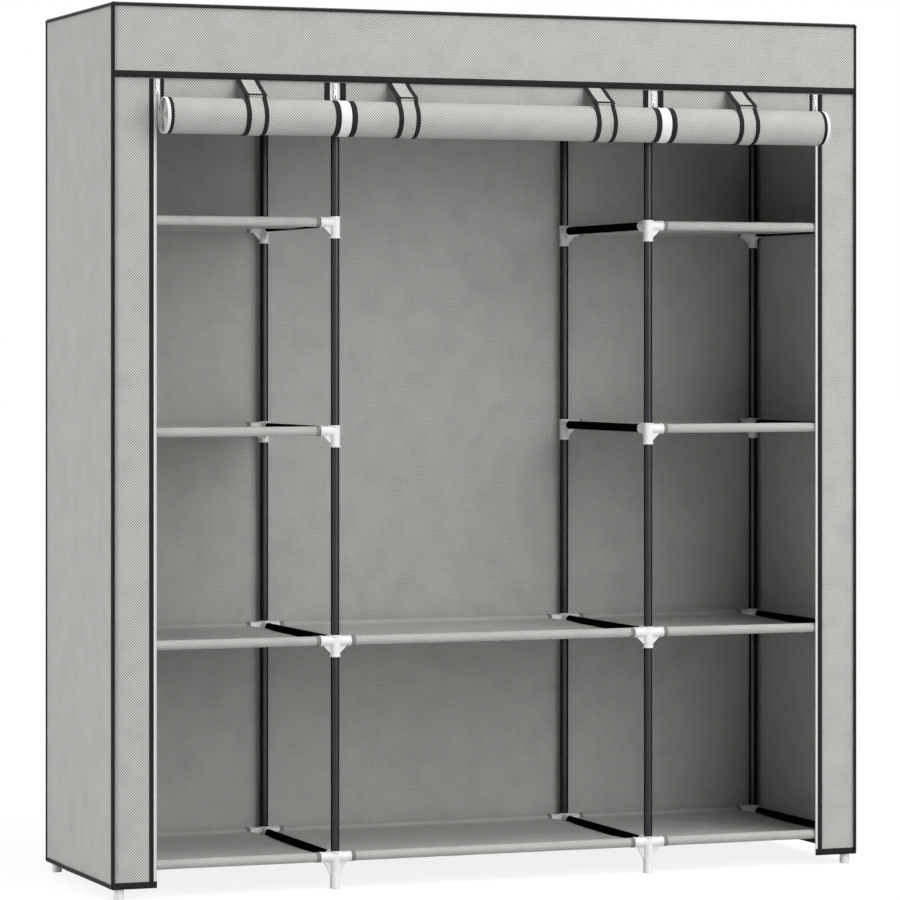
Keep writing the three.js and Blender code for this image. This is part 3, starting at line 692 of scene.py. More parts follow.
class WARDROBE_OT_connectors(bpy.types.Operator):
    """Makes the moulded connectors and sets one on each post at each level"""
    bl_idname = "wardrobe.connectors"
    bl_label = "Plastic connectors"

    def execute(self, context):
        moulds = {kind: [helper(f"{form}_{kind}", connector(f"{form}_{kind}", arms, kind))
                         for form, arms in (("corner", [X, Y]), ("tee", [X, -X, Y]))]
                  for kind in ("foot", "middle", "top")}
        for node, level, first, last in BAY_FRAMES:
            kind = "foot" if level == 0 else "top" if level == TOP else "middle"
            points, turns, tees = [], [], []
            for post in range(first, last + 1):
                is_inner = post in BAYS["centre"][:2]
                is_tee = is_inner and (level < BAYS["centre"][2] or level == TOP)
                for y, inward in ((FRONT_Y, 1), (BACK_Y, -1)):
                    sideways = inward if is_tee else 1 if post in (0, 2) else -1
                    points.append((POST_X[post], y, LEVELS[level]))
                    turns.append(TURNS[(sideways, inward)])
                    tees.append(is_tee)
            base = bpy.data.meshes.new("corners")
            base.from_pydata(points, [], [])
            base.attributes.new("turn", "FLOAT", "POINT").data.foreach_set("value", turns)
            base.attributes.new("is_tee", "BOOLEAN", "POINT").data.foreach_set("value", tees)
            corner, tee = moulds[kind]
            data = grown(f"connectors_{node}", base, connectors_on_posts, Corner=corner, Tee=tee,
                         Material=material("plastic"))
            place(f"connectors_{node}", data, None, "connector_plastic", [node])
        for mould in sum(moulds.values(), []):
            bpy.data.objects.remove(mould)
        return {"FINISHED"}


def barrel(radius, length, soft):
    """The profile of a solid cylinder with softened ends."""
    return [(radius - soft, 0), (radius, soft), (radius, length - soft), (radius - soft, length)]


class WARDROBE_OT_hanging_rail(bpy.types.Operator):
    """Makes the hanging rail of the centre bay and the two clips that carry it"""
    bl_idname = "wardrobe.hanging_rail"
    bl_label = "Hanging rail"

    def execute(self, context):
        _, y, z = centre("hanging_rail")
        ends = [(corner.x, y, z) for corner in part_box("hanging_rail")]
        add_tubes("hanging_rail_tube", [ends], "hanging_rail")
        slip, width, soft = 0.3 * MM, 24 * MM, 0.7 * MM
        cup_deep, cup_wall, web_size = 12 * MM, 2.6 * MM, (10 * MM, 9.9 * MM)
        top, bore = LEVELS[TOP], context.scene.wardrobe_frame.tube_radius + slip
        for side, post, inward in (("left", 1, 1), ("right", 2, -1)):
            x, along = POST_X[post], X * inward
            cup_start = Vector((x - inward * cup_deep / 2, y, z))
            cup = Form().turn(barrel(bore + cup_wall, cup_deep, soft), cup_start, along)
            hook = Form().turn(barrel(HUB_RADIUS, width, soft), Vector((x, y - width / 2, top)), Y)
            web = Form().sweep([Vector((x, y, z + (top - z) * s)) for s in (0, 1)], X, Y,
                               rounded(*web_size, 6))
            holes = [Form().turn([(bore, -width), (bore, width)], Vector((x, y, top)), Y),
                     Form().turn([(bore, cup_wall), (bore, width)], cup_start, along)]
            node = f"hanging_rail_clip_{side}"
            place(f"rail_clip_{side}", moulded(node, [cup, hook, web], holes), "plastic",
                  "connector_plastic", [node])
        return {"FINISHED"}


# Shelves

SLEEVE_RADIUS = 8.42 * MM
SHEET_LIFT = 0.9 * MM


def shelf_lines(z):
    """The cloth's line from hem to hem, round both rails, as rows of y, z and sag share. It goes
    under a rail from inside, up its outer side and over it, and leaves it near its middle height."""
    hem, seam, under = 27 * MM, 9.6 * MM, 1.7 * MM
    front = [(FRONT_Y + hem * s, z + SHEET_LIFT - under, hang) for s, hang in
             ((1.0, 0.14), (0.7, 0.07), (0.42, 0.01))]
    # The turn round the rail is in degrees from its outer side, over the top.
    for degrees in between(190, 524, 23):
        a = math.radians(degrees)
        front.append((FRONT_Y - SLEEVE_RADIUS * math.cos(a), z + SLEEVE_RADIUS * math.sin(a), 0))
    middle = [(FRONT_Y + seam + (BACK_Y - FRONT_Y - 2 * seam) * s, z + SHEET_LIFT,
               math.sin(math.pi * s) ** 0.75) for s in between(0, 1, 29)]
    back = [(FRONT_Y + BACK_Y - y, h, hang) for y, h, hang in reversed(front)]
    return front, middle, back


class WARDROBE_OT_shelves(bpy.types.Operator):
    """Makes the ten cloth shelves with their sleeves round the rails, hems and stitches"""
    bl_idname = "wardrobe.shelves"
    bl_label = "Cloth shelves"

    def execute(self, context):
        for bay, (first, last, count) in BAYS.items():
            for level in range(count):
                self.add_shelf(bay, first, last, level, context.scene.wardrobe_cloth)
        return {"FINISHED"}

    def add_shelf(self, bay, first, last, level, settings):
        node, z = f"shelf_{bay}_{level + 1}", LEVELS[level]
        edge_low, edge_high = low(node).x, high(node).x
        # A sleeve ends just past the connector's arm.
        clear, notch, cell = 0.8 * MM, 52 * MM, 12 * MM
        arm = bpy.context.scene.wardrobe_frame.arm_length + clear
        sleeve_low, sleeve_high = POST_X[first] + arm, POST_X[last] - arm
        wide = edge_high - edge_low
        front, middle, back = shelf_lines(z)
        lines = front + middle + back
        columns = max(24, int(wide / cell))
        seed = 17 * level + 5 * first
        rows = []
        for y, height, hang in lines:
            share = min(1, max(0, min(y - FRONT_Y, BACK_Y - y) / notch)) if hang > 0 else 0
            left = sleeve_low + (edge_low - sleeve_low) * share
            right = sleeve_high + (edge_high - sleeve_high) * share
            row = []
            for s in between(0, 1, columns + 1):
                x = left + (right - left) * s
                drop = settings.shelf_sag * hang * (0.85 + 0.15 * math.sin(math.pi * s))
                # The numbers beside x, y and height are waves to the metre.
                soft = noise.noise(Vector((x * 9, y * 9, seed))) * 1.32 * MM * min(1, hang * 1.5)
                crease = noise.noise(Vector((x * 30, y * 12, seed + 3))) * 0.5 * MM * min(1, hang * 3)
                ripple = noise.noise(Vector((x * 45, height * 30, seed))) * 0.25 * MM
                row.append(Vector((x, y + ripple, height - drop + soft + crease + ripple)))
            rows.append(row)
        lengths = running([Vector((0, y, h)) for y, h, _ in lines])
        piece = place(f"cloth_{node}", Form().skin(rows, lengths, between(0, wide, columns + 1)),
                      "cloth", "shelf_cloth", [node], settings.thickness)
        stitch_y, proud = 24 * MM, 0.2 * MM
        seam_rows = []
        for target in (FRONT_Y + stitch_y, BACK_Y - stitch_y):
            at = min(range(len(front), len(front) + len(middle)),
                     key=lambda i: abs(lines[i][0] - target))
            seam_rows.append([p + Z * (settings.thickness / 2 + proud) for p in rows[at]])
        seams = stitches(f"seam_{node}", seam_rows, "pale_thread", "shelf_cloth")
        rings, ring_long, ring_wall, ring_proud = Form(), 7.6 * MM, 0.6 * MM, 1.1 * MM
        for y in (FRONT_Y, BACK_Y):
            for x in (sleeve_low, sleeve_high - ring_long):
                start = Vector((x, y, z))
                rings.tube(start, start + X * ring_long, SLEEVE_RADIUS + ring_proud, ring_wall)
        hems = place(f"sleeve_hems_{node}", rings, "hem_cloth", "shelf_cloth")


# Cover

# The wrinkles have their full height from this far inside a sewn edge.
SEWN_REACH = 90 * MM
PANEL_CELL = 14 * MM
BINDING_THICK = 2.2 * MM
SEAM_INSET = 2 * MM


class Panel:
    """A panel of the cover, with soft wrinkles that die out at its sewn edges."""

    def __init__(self, corner, along, up, out, wide, tall, seed, free=("low",), height=None):
        self.corner, self.along, self.up, self.out = Vector(corner), along, up, out
        self.wide, self.tall, self.seed, self.free = wide, tall, seed, free
        self.height = height or bpy.context.scene.wardrobe_cloth.wrinkle

    def hold(self, u, v):
        """How loose the cloth is at a place: 0 on a sewn edge, 1 well inside."""
        edges = {"left": u, "right": self.wide - u, "low": v, "high": self.tall - v}
        near = min(d for side, d in edges.items() if side not in self.free)
        s = min(1, max(0, near / SEWN_REACH))
        return s * s * (3 - 2 * s)

    def lift(self, u, v):
        """The height of the wrinkles. The numbers beside u and v are waves to the metre."""
        broad = noise.noise(Vector((u * 3.1, v * 1.9, self.seed)))
        slack = noise.noise(Vector((u * 7.3 + v * 2.2, v * 4.1, self.seed + 9)))
        crease = 1 - abs(noise.noise(Vector((u * 5 - v * 3.1, v * 6 + u, self.seed + 21)))) * 2.6
        return self.height * self.hold(u, v) * (0.8 * broad + 0.45 * slack + 0.35 * max(0, crease) ** 3)

    def point(self, u, v, proud=0.0):
        return self.corner + self.along * u + self.up * v + self.out * (self.lift(u, v) + proud)

    def line(self, v, count, proud=0.0, start=0.0, end=None):
        """Points along the panel at one height."""
        return [self.point(u, v, proud) for u in between(start, self.wide if end is None else end, count)]

    def form(self):
        across, down = [between(0, size, max(3, int(size / PANEL_CELL)) + 1)
                        for size in (self.wide, self.tall)]
        return Form().skin([[self.point(u, v) for u in across] for v in down], down, across)


def cover_panels():
    """The cover's seven panels by name, each named for the node that it stands for."""
    inset, small, slight = 0.5 * MM, 0.8 * MM, 1.1 * MM
    x0, x1 = COVER_LOW.x + inset, COVER_HIGH.x - inset
    y0, y1 = COVER_LOW.y + inset, COVER_HIGH.y - inset
    wide, deep, tall, shaded_edge = x1 - x0, y1 - y0, ROOF_Z - HEM_Z, STRIP_EDGE_X
    return {
        "side_left": Panel((x0, y1, HEM_Z), -Y, Z, -X, deep, tall, 3),
        "side_right": Panel((x1, y0, HEM_Z), Y, Z, X, deep, tall, 14),
        "back": Panel((x1, y1, HEM_Z), -X, Z, Y, wide, tall, 27),
        "top": Panel((x0, y0, centre("cover_top").z), X, Y, Z, wide, deep, 33, (), small),
        "strip_left": Panel((x0, FACADE_Y, HEM_Z), X, Z, -Y, -shaded_edge - x0, tall, 41, height=small),
        "strip_right": Panel((shaded_edge, FACADE_Y, HEM_Z), X, Z, -Y, x1 - shaded_edge, tall, 52, height=small),
        "valance": Panel((x0, y0, VALANCE_Z), X, Z, -Y, wide, ROOF_Z - VALANCE_Z, 61, height=slight),
    }


class WARDROBE_OT_cover(bpy.types.Operator):
    """Makes the cover's panels with their black bindings, piped edges and stitches"""
    bl_idname = "wardrobe.cover"
    bl_label = "Cover"

    def execute(self, context):
        panels, steps, bound, lines = cover_panels(), 60, {}, {}
        tape_over, overhang, side_hem, hem = 5.2 * MM, 1.8 * MM, 8.8 * MM, 12.6 * MM
        for name in ("side_left", "side_right", "back", "strip_left", "strip_right"):
            panel = panels[name]
            # A strip's hem runs on over the foot of the zip tape beside it.
            start = -tape_over if name == "strip_right" else 0
            end = panel.wide + (tape_over if name == "strip_left" else 0)
            deep = side_hem if name.startswith("side") else hem
            path = panel.line(deep / 2 - overhang, steps, 0, start, end)
            bound[name] = [add_band(f"hem_{name}", path, panel.up, panel.out, deep, BINDING_THICK)]
            # The stitches stop at the strip's edge, clear of the pull tab's way down the zip.
            lines[name] = [panel.line(deep - overhang - SEAM_INSET, steps, BINDING_THICK / 2)]
        valance, deep, thick, lift = panels["valance"], 12.8 * MM, 2.4 * MM, 0.6 * MM
        path = valance.line(deep / 2 + lift, 2 * steps)
        bound["valance"] = [add_band("valance_binding", path, Z, -Y, deep, thick)]
        lines["valance"] = [valance.line(deep - SEAM_INSET, 2 * steps, thick / 2)]
        # The photo's two strip bindings lie a little differently on their edges.
        half, inside, beyond = 4.5 * MM, 0.8 * MM, 0.6 * MM
        for side, _ in SIDES:
            name = f"strip_{side}"
            panel = panels[name]
            u = panel.wide - half - inside if side == "left" else half - beyond
            path = [panel.point(u, v) for v in between(0, panel.tall, 2 * steps)]
            bound[name].append(
                add_band(f"strip_binding_{side}", path, X, -Y, 2 * half, BINDING_THICK))
            seam = u - math.copysign(half - SEAM_INSET, u - panel.wide / 2)
            lines[name].append([panel.point(seam, v, BINDING_THICK / 2)
                                for v in between(0, panel.tall, steps)])
        bound["top"] = self.add_piping()
        for name, panel in panels.items():
            piece = place(f"panel_{name}", panel.form(), "cloth", "cover_cloth", [f"cover_{name}"],
                          context.scene.wardrobe_cloth.thickness)
            pieces = bound[name]
            if name in lines:
                pieces.append(stitches(f"stitches_{name}", lines[name]))
            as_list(pieces)
        self.add_seam_lines(panels)
        return {"FINISHED"}

    def add_piping(self):
        """Flat piping over the cover's corners: four posts' edges and the roof's four edges."""
        x0, x1, y0, y1 = COVER_LOW.x, COVER_HIGH.x, COVER_LOW.y, COVER_HIGH.y
        post_wide, roof_wide, thick, sunk, below = 7.8 * MM, 8.8 * MM, 3.2 * MM, 0.6 * MM, 2.4 * MM
        top = COVER_HIGH.z - below
        depths = (("front", y0, -1), ("back", y1, 1))
        # Each edge has its name, the way it faces, its start, its run, its steps and its width.
        edges = []
        for side, x, sign in (("left", x0, -1), ("right", x1, 1)):
            edges += [(f"edge_piping_{depth}_{side}", (sign, way, 0), (x, y, HEM_Z), Z * (top - HEM_Z),
                       40, post_wide) for depth, y, way in depths]
            edges.append((f"roof_piping_{side}", (sign, 0, 1), (x, y0, top), Y * (y1 - y0), 30,
                          roof_wide))
        edges += [(f"roof_piping_{depth}", (0, way, 1), (x0, y, top), X * (x1 - x0), 80, roof_wide)
                  for depth, y, way in depths]
        pieces = []
        for name, facing, start, run, count, width in edges:
            out = Vector(facing).normalized()
            path = [Vector(start) + run * s - out * sunk for s in between(0, 1, count)]
            pieces.append(add_band(name, path, out.cross(run.normalized()), out, width, thick))
        return pieces

    def add_seam_lines(self, panels):
        """Pale stitches beside the piping and over the hem of the sides and the back."""
        lines, inset, over_hem, start, proud = [], 8 * MM, 16 * MM, 18 * MM, 0.5 * MM
        for name in ("side_left", "side_right", "back"):
            panel = panels[name]
            for u in (inset, panel.wide - inset):
                lines.append([panel.point(u, v, proud) for v in between(start, panel.tall, 50)])
            lines.append(panel.line(over_hem, 60, proud, inset, panel.wide - inset))
        stitches("seam_lines_cover", lines, "pale_thread")


# Doors

OUTER_BORDERS = (6.2 * MM, 12.6 * MM)
INNER_BORDERS = (10.1 * MM, 21.2 * MM)
ROLL_CORE = 2.6 * MM


def roll_point(radius, degrees):
    """A point round the roll, as y and z. The angle is measured from +Y towards +Z."""
    a = math.radians(degrees)
    return ROLL_Y + radius * math.cos(a), ROLL_Z + radius * math.sin(a)


def turn_radius(turn, radius, pitch):
    """The outer turn keeps its radius for three quarters, and the rest wind evenly inwards."""
    kept = 0.75
    if turn < kept:
        return radius
    return radius - pitch * (turn if turn > 1 else (turn - kept) / (1 - kept))


def roll_line(top, radius, pitch, last=None):
    """A rolled door's line: down from its top edge, behind the roll, under it, up its front and
    round and round inwards. Each point is y, z and whether it is on the roll."""
    bend = ROLL_Z + 20 * MM
    line = [(FACADE_Y, z, 0.0) for z in between(top, bend, 10)] if top > bend else []
    for s in (0.25, 0.5, 0.75):
        ease = s * s * (3 - 2 * s)
        z = bend + (ROLL_Z - bend) * s
        if z < top:
            line.append((FACADE_Y + (ROLL_Y + radius - FACADE_Y) * ease, z, 0.0))
    steps = 34
    last = last or (radius - ROLL_CORE) / pitch
    turns = [i / steps for i in range(int(last * steps) + 1)]
    return line + [(*roll_point(turn_radius(turn, radius, pitch), -360 * turn), 1.0) for turn in turns]


def add_rolled(name, low_x, high_x, top, key, slot, thickness, replaced=(), seed=0, last=None):
    """One strip of a rolled door between two X places."""
    settings = bpy.context.scene.wardrobe_cloth
    line = roll_line(top, ROLL_RADIUS - settings.thickness / 2, settings.roll_pitch, last)
    # The narrow columns beside the two edges keep the shading between them flat.
    cell, narrow, lump, sway = 16 * MM, 0.4 * MM, 0.35 * MM, 0.5 * MM
    columns = max(1, int((high_x - low_x) / cell))
    across = [low_x, *between(low_x + narrow, high_x - narrow, columns + 1), high_x]
    rows = []
    for i, (y, z, rolled) in enumerate(line):
        away = Vector((0, y - ROLL_Y, z - ROLL_Z)).normalized()
        row = []
        for x in across:
            # The numbers beside x and z are waves to the metre, and the one beside i to a step.
            raised = noise.noise(Vector((x * 8, i * 0.09, seed))) * lump * rolled
            slack = 0 if rolled else noise.noise(Vector((x * 6, z * 9, seed))) * sway
            row.append(Vector((x, y, z)) + away * raised - Y * slack)
        rows.append(row)
    lengths = running([Vector((0, y, z)) for y, z, _ in line])
    return place(name, Form().skin(rows, lengths, [x - low_x for x in across]), key, slot, replaced,
                 thickness)


def add_winding(name, low_x, high_x):
    """The edge of the inner turns across the zip tape's width, where the turns lie close. It has the grey
    cloth's colour in place of the white tape, as painted shade between the turns. Pairs of turns part
    in small gaps above and below the middle."""
    settings = bpy.context.scene.wardrobe_cloth
    steps, pitch, wide = 40, settings.roll_pitch, high_x - low_x
    first, parted, last = 1.12, 1.4, (ROLL_RADIUS - ROLL_CORE) / pitch
    clear, most = 0.15 * MM, 0.62 * pitch
    half = pitch / 2 - clear
    turns = [i / steps for i in range(int(first * steps), int(last * steps) + 1)]
    rows = []
    for turn in turns:
        side = math.copysign(1, math.cos(math.pi * turn))
        part = most * abs(math.sin(2 * math.pi * turn)) ** 7 if turn > parted else 0
        middle = turn_radius(turn, ROLL_RADIUS - settings.thickness / 2, pitch)
        outer, inner = middle + half - max(0, part * side), middle - half + max(0, -part * side)
        rows.append([Vector((x, *roll_point(radius, -360 * turn))) for radius, x in
                     ((outer, low_x), (outer, high_x), (inner, high_x), (inner, low_x))])
    form = Form().skin(rows, [turn * pitch * 10 for turn in turns],
                       [0, wide, wide + pitch, 2 * wide, 2 * wide + pitch], closed=True, capped=True)
    return place(name, form, "cloth", "cover_cloth")


class WARDROBE_OT_doors(bpy.types.Operator):
    """Makes the three rolled doors: thin cloth wound round and round, with bound zip edges"""
    bl_idname = "wardrobe.doors"
    bl_label = "Rolled doors"

    def execute(self, context):
        below, gap, tape_thick, binding_thick = 0.4 * MM, 0.05 * MM, 1.5 * MM, 1.6 * MM
        # The rolled tape starts below the end of the pull tab of a slider at its lowest.
        top, tape_top = ROOF_Z - below, ROLL_Z + 10.5 * MM
        outer, inner = ZIPS["right_outer"], ZIPS["right_inner"]
        doors = (
            ("left", -outer, -inner, OUTER_BORDERS, INNER_BORDERS, ["left_door"]),
            ("centre", -inner, inner, INNER_BORDERS, INNER_BORDERS,
             ["centre_door_left", "centre_door_right"]),
            ("right", inner, outer, INNER_BORDERS, OUTER_BORDERS, ["right_door"]),
        )
        for seed, (name, x0, x1, left, right, straps) in enumerate(doors):
            borders = []
            for side, shaded_edge, sign, (tape, bound) in (("left", x0, 1, left), ("right", x1, -1, right)):
                tape_span = sorted((shaded_edge + sign * gap, shaded_edge + sign * tape))
                bound_span = sorted((shaded_edge + sign * tape, shaded_edge + sign * bound))
                # The white tape is drawn for only the outer turn and a tenth. Inside it, the winding shows
                # the tape's edges in the grey cloth's colour as painted shade.
                borders += [
                    add_rolled(f"door_{name}_tape_{side}", *tape_span, tape_top, "tape", "zip_tape",
                               tape_thick, last=1.1),
                    add_winding(f"door_{name}_edge_{side}", *tape_span),
                    add_rolled(f"door_{name}_binding_{side}", *bound_span, top, "binding",
                               "cover_cloth", binding_thick, seed=seed)]
            low_x, high_x = x0 + left[1], x1 - right[1]
            piece = add_rolled(f"rolled_door_{name}", low_x, high_x, top, "cloth", "cover_cloth",
                               context.scene.wardrobe_cloth.thickness, [f"door_{name}"], seed)
            [f"strap_wrap_{strap}" for strap in straps]
        return {"FINISHED"}


# Zips

def plate(outlines, thickness, soft):
    """A flat plate in the XZ plane with rounded edges, from closed outlines and their holes."""
    data = bpy.data.curves.new("plate", "CURVE")
    data.dimensions, data.fill_mode, data.offset = "2D", "BOTH", -soft
    data.extrude, data.bevel_depth, data.bevel_resolution = thickness / 2 - soft, soft, 1
    for outline in outlines:
        spline = data.splines.new("POLY")
        spline.points.add(len(outline) - 1)
        for point, (x, z) in zip(spline.points, outline):
            point.co = (x, z, 0, 1)
        spline.use_cyclic_u = True
    mesh = evaluated(helper("plate", data))
    mesh.transform(Matrix.Rotation(math.pi / 2, 4, "X"))
    return mesh


def arc(cx, cz, radius, start, end, count):
    angles = between(math.radians(start), math.radians(end), count)
    return [(cx + radius * math.cos(a), cz + radius * math.sin(a)) for a in angles]


def mirrored(right):
    """A closed outline from its right half."""
    return right + [(-x, z) for x, z in reversed(right)]


def yz_path(x, spots):
    return [Vector((x, y, z)) for y, z in spots]


def outward(path):
    """The side of a path in a YZ plane that faces away from the roll."""
    ends = zip([path[0], *path[:-1]], [*path[1:], path[-1]])
    return [X.cross((after - before).normalized()).normalized() for before, after in ends]


class WARDROBE_OT_zips(bpy.types.Operator):
    """Makes the four zips: woven tapes, nylon coil, sliders and pull tabs"""
    bl_idname = "wardrobe.zips"
    bl_label = "Zips"

    def execute(self, context):
        for name, x in ZIPS.items():
            self.add_tapes(name, x, context.scene.wardrobe_zips.tooth_pitch)
            self.add_slider(name, x)
            self.add_pull(name, x)
        return {"FINISHED"}

    def add_tapes(self, name, x, pitch):
        """The two tapes and their coils, closed above the slider and parted below it."""
        node, side = f"zip_{name}", math.copysign(1, x)
        wide, thick, parted_by, lift = (14 if "outer" in name else 18.1) * MM, 0.7 * MM, 0.6 * MM, 0.8 * MM
        # A coil lies nearer the zip's middle where it is closed. The coils leave room for the stops.
        closed_by, open_by, room = 0.75 * MM, 1.3 * MM, 6 * MM
        top, tape_y = high(node).z, high(node).y - 0.4 * MM
        coil_y = tape_y - lift
        split = low(f"slider_{name}").z + 2 * MM
        form, rows = Form(), {}
        for way, bottom in ((side, low(node).z), (-side, ROLL_Z + 9.8 * MM)):
            middle = x + way * parted_by + way * (wide - parted_by) / 2
            form.sweep([Vector((middle, tape_y, z)) for z in between(bottom, top, 40)], X, Y,
                       rounded(wide - parted_by, thick, 2))
            # The turns of the left coil lie between those of the right one.
            offset = pitch / 2 if way < 0 else 0
            rows[way] = [
                [Vector((x + way * closed_by, coil_y, z + offset)) for z in (split, top - room)],
                [Vector((x + way * open_by, coil_y, z)) for z in (bottom + 2 * MM, split - 3 * MM)]]
        place(f"zip_tapes_{name}", form, "tape", "zip_tape", [node])
        coils = [grown_rows(f"coil_{name}", rows[way], self.coil_turn(way), pitch, "coil")
                 for way in (1, -1)]
        place(f"zip_coil_{name}", merged(f"zip_coil_{name}", coils), "coil", "zip_tape")
        ends, stop_x, stop_size = Form(), 1.7 * MM, (2.6 * MM, 1.5 * MM)
        for way in (-1, 1):
            path = [Vector((x + way * stop_x, coil_y, top - drop * MM)) for drop in (5, 3, 1)]
            ends.sweep(path, X, Y, rounded(*stop_size, 2))
        place(f"zip_stops_{name}", ends, "metal", "zip_metal")

    def coil_turn(self, way):
        """One turn of the coil, a flat loop whose head points to the zip's middle."""
        wire = 0.42 * MM
        head, tail, half = -0.9 * MM * way, 1.4 * MM * way, 0.45 * MM
        path = [Vector(spot) for spot in (
            (0, 0.35 * MM, tail), (-half * 0.6, 0.2 * MM, 0.3 * MM * way), (-half, 0, head),
            (half * 0.2, -0.25 * MM, head * 1.15), (half, -0.2 * MM, head * 0.8),
            (half, 0.1 * MM, tail))]
        tangents = [(b - a).normalized() for a, b in zip(path, path[1:])]
        tangents.append(tangents[-1])
        across = [t.cross(Y).normalized() for t in tangents]
        out = [a.cross(t).normalized() for a, t in zip(across, tangents)]
        turned = Form().sweep(path, across, out, arc(0, 0, wire, 0, 300, 6)).mesh("coil_turn")
        # The row turns a copy's X to the line, so the turn's width is laid along its Y.
        turned.transform(Matrix(((1, 0, 0, 0), (0, 0, 1, 0), (0, 1, 0, 0), (0, 0, 0, 1))))
        joined(turned, [turned], 0.001 * MM)
        return turned

    def add_slider(self, name, x):
        """A slider: two shield-shaped plates, the nose between them and the bridge over the front."""
        lo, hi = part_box(f"slider_{name}")
        thick, slim = 0.8 * MM, 0.2 * MM
        half, tall = (hi.x - lo.x) / 2, hi.z - lo.z
        outline = mirrored(arc(half * 0.72 - 1 * MM, 1 * MM, 1 * MM, -90, -10, 4) +
                           arc(half - 1.2 * MM, tall - 2.4 * MM, 1.2 * MM, -20, 60, 5) +
                           arc(half * 0.45, tall - 0.8 * MM, 0.8 * MM, 50, 90, 3))
        eyes = [arc(s * 3.2 * MM, tall - 3.6 * MM, 0.75 * MM, 0, 330, 12) for s in (-1, 1)]
        skin = high(f"pull_tab_{name}").y + 0.3 * MM
        front_y, back_y = skin + thick / 2, hi.y - thick / 2
        meshes = []
        for y in (front_y, back_y):
            meshes.append(plate([outline, *eyes], thick, 0.18 * MM))
            meshes[-1].transform(Matrix.Translation((x, y, lo.z)))
        nose = [Vector((x, y, lo.z + 1.4 * MM)) for y in (front_y, back_y)]
        meshes.append(Form().sweep(nose, X, Z, rounded(1.8 * MM, 1.7 * MM, 4)).mesh("nose"))
        top, foot, outer, bend = hi.z - 1.2 * MM, hi.z - 9.8 * MM, lo.y + 0.4 * MM, 0.6 * MM
        bridge = yz_path(x, [
            (skin + slim, foot + 0.4 * MM), (outer + bend, foot + 0.5 * MM), (outer, foot + 1.2 * MM),
            (outer, foot + 4 * MM), (outer, top - 1.2 * MM), (outer + bend, top - 0.5 * MM),
            (skin + slim, top - 0.4 * MM)])
        out = [-side for side in outward(bridge)]
        meshes.append(Form().sweep(bridge, X, out, rounded(2.2 * MM, 0.8 * MM, 4)).mesh("bridge"))
        place(f"slider_body_{name}", merged(f"zip_slider_{name}", meshes), "metal", "zip_metal",
              [f"slider_{name}"], body=f"zip_slider_{name}")

    def add_pull(self, name, x):
        """A pull tab: a wide eye round the bridge, a waist, and a round end with an oval hole."""
        lo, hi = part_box(f"pull_tab_{name}")
        top, end, corner, shift = hi.z, 4 * MM, 0.5 * MM, 0.9 * MM
        end_z, eye_z = lo.z + end, top - 9.6 * MM
        eye, waist = 3.5 * MM, 2.1 * MM
        outline = mirrored(
            [(eye - 0.8 * MM, top), *arc(eye - 0.9 * MM, top - 0.9 * MM, 0.9 * MM, 80, 0, 4),
             (eye, eye_z + 1.6 * MM), (eye - 0.5 * MM, eye_z + 0.5 * MM),
             (waist + 0.4 * MM, eye_z - 1.1 * MM), (waist, eye_z - 2.4 * MM),
             (waist, end_z + 5.2 * MM), (waist + 0.5 * MM, end_z + 4 * MM),
             *arc(0, end_z, end, 42, -90, 14)])
        slot_x, slot_top, slot_foot = 1.2 * MM, top - 1.4 * MM, eye_z + 1.4 * MM
        slot = []
        for start, sx, sz in ((0, slot_x, slot_top), (90, -slot_x, slot_top),
                              (180, -slot_x, slot_foot), (270, slot_x, slot_foot)):
            slot += arc(sx, sz, corner, start, start + 90, 4)
        hole = (arc(0, end_z + shift, 1.5 * MM, 0, 180, 9) +
                arc(0, end_z - shift, 1.5 * MM, 180, 360, 9))
        data = plate([outline, slot, hole], hi.y - lo.y, 0.2 * MM)
        data.transform(Matrix.Translation((x, (lo.y + hi.y) / 2, 0)))
        place(f"pull_{name}", merged(f"pull_{name}", [data]), "metal", "zip_metal",
              [f"pull_tab_{name}"], body=f"zip_pull_{name}")


# Straps

STRAP_CLOTH = 0.9 * MM
STRAP_EDGE = 9.4 * MM
STRAP_EDGE_THICK = 1.4 * MM


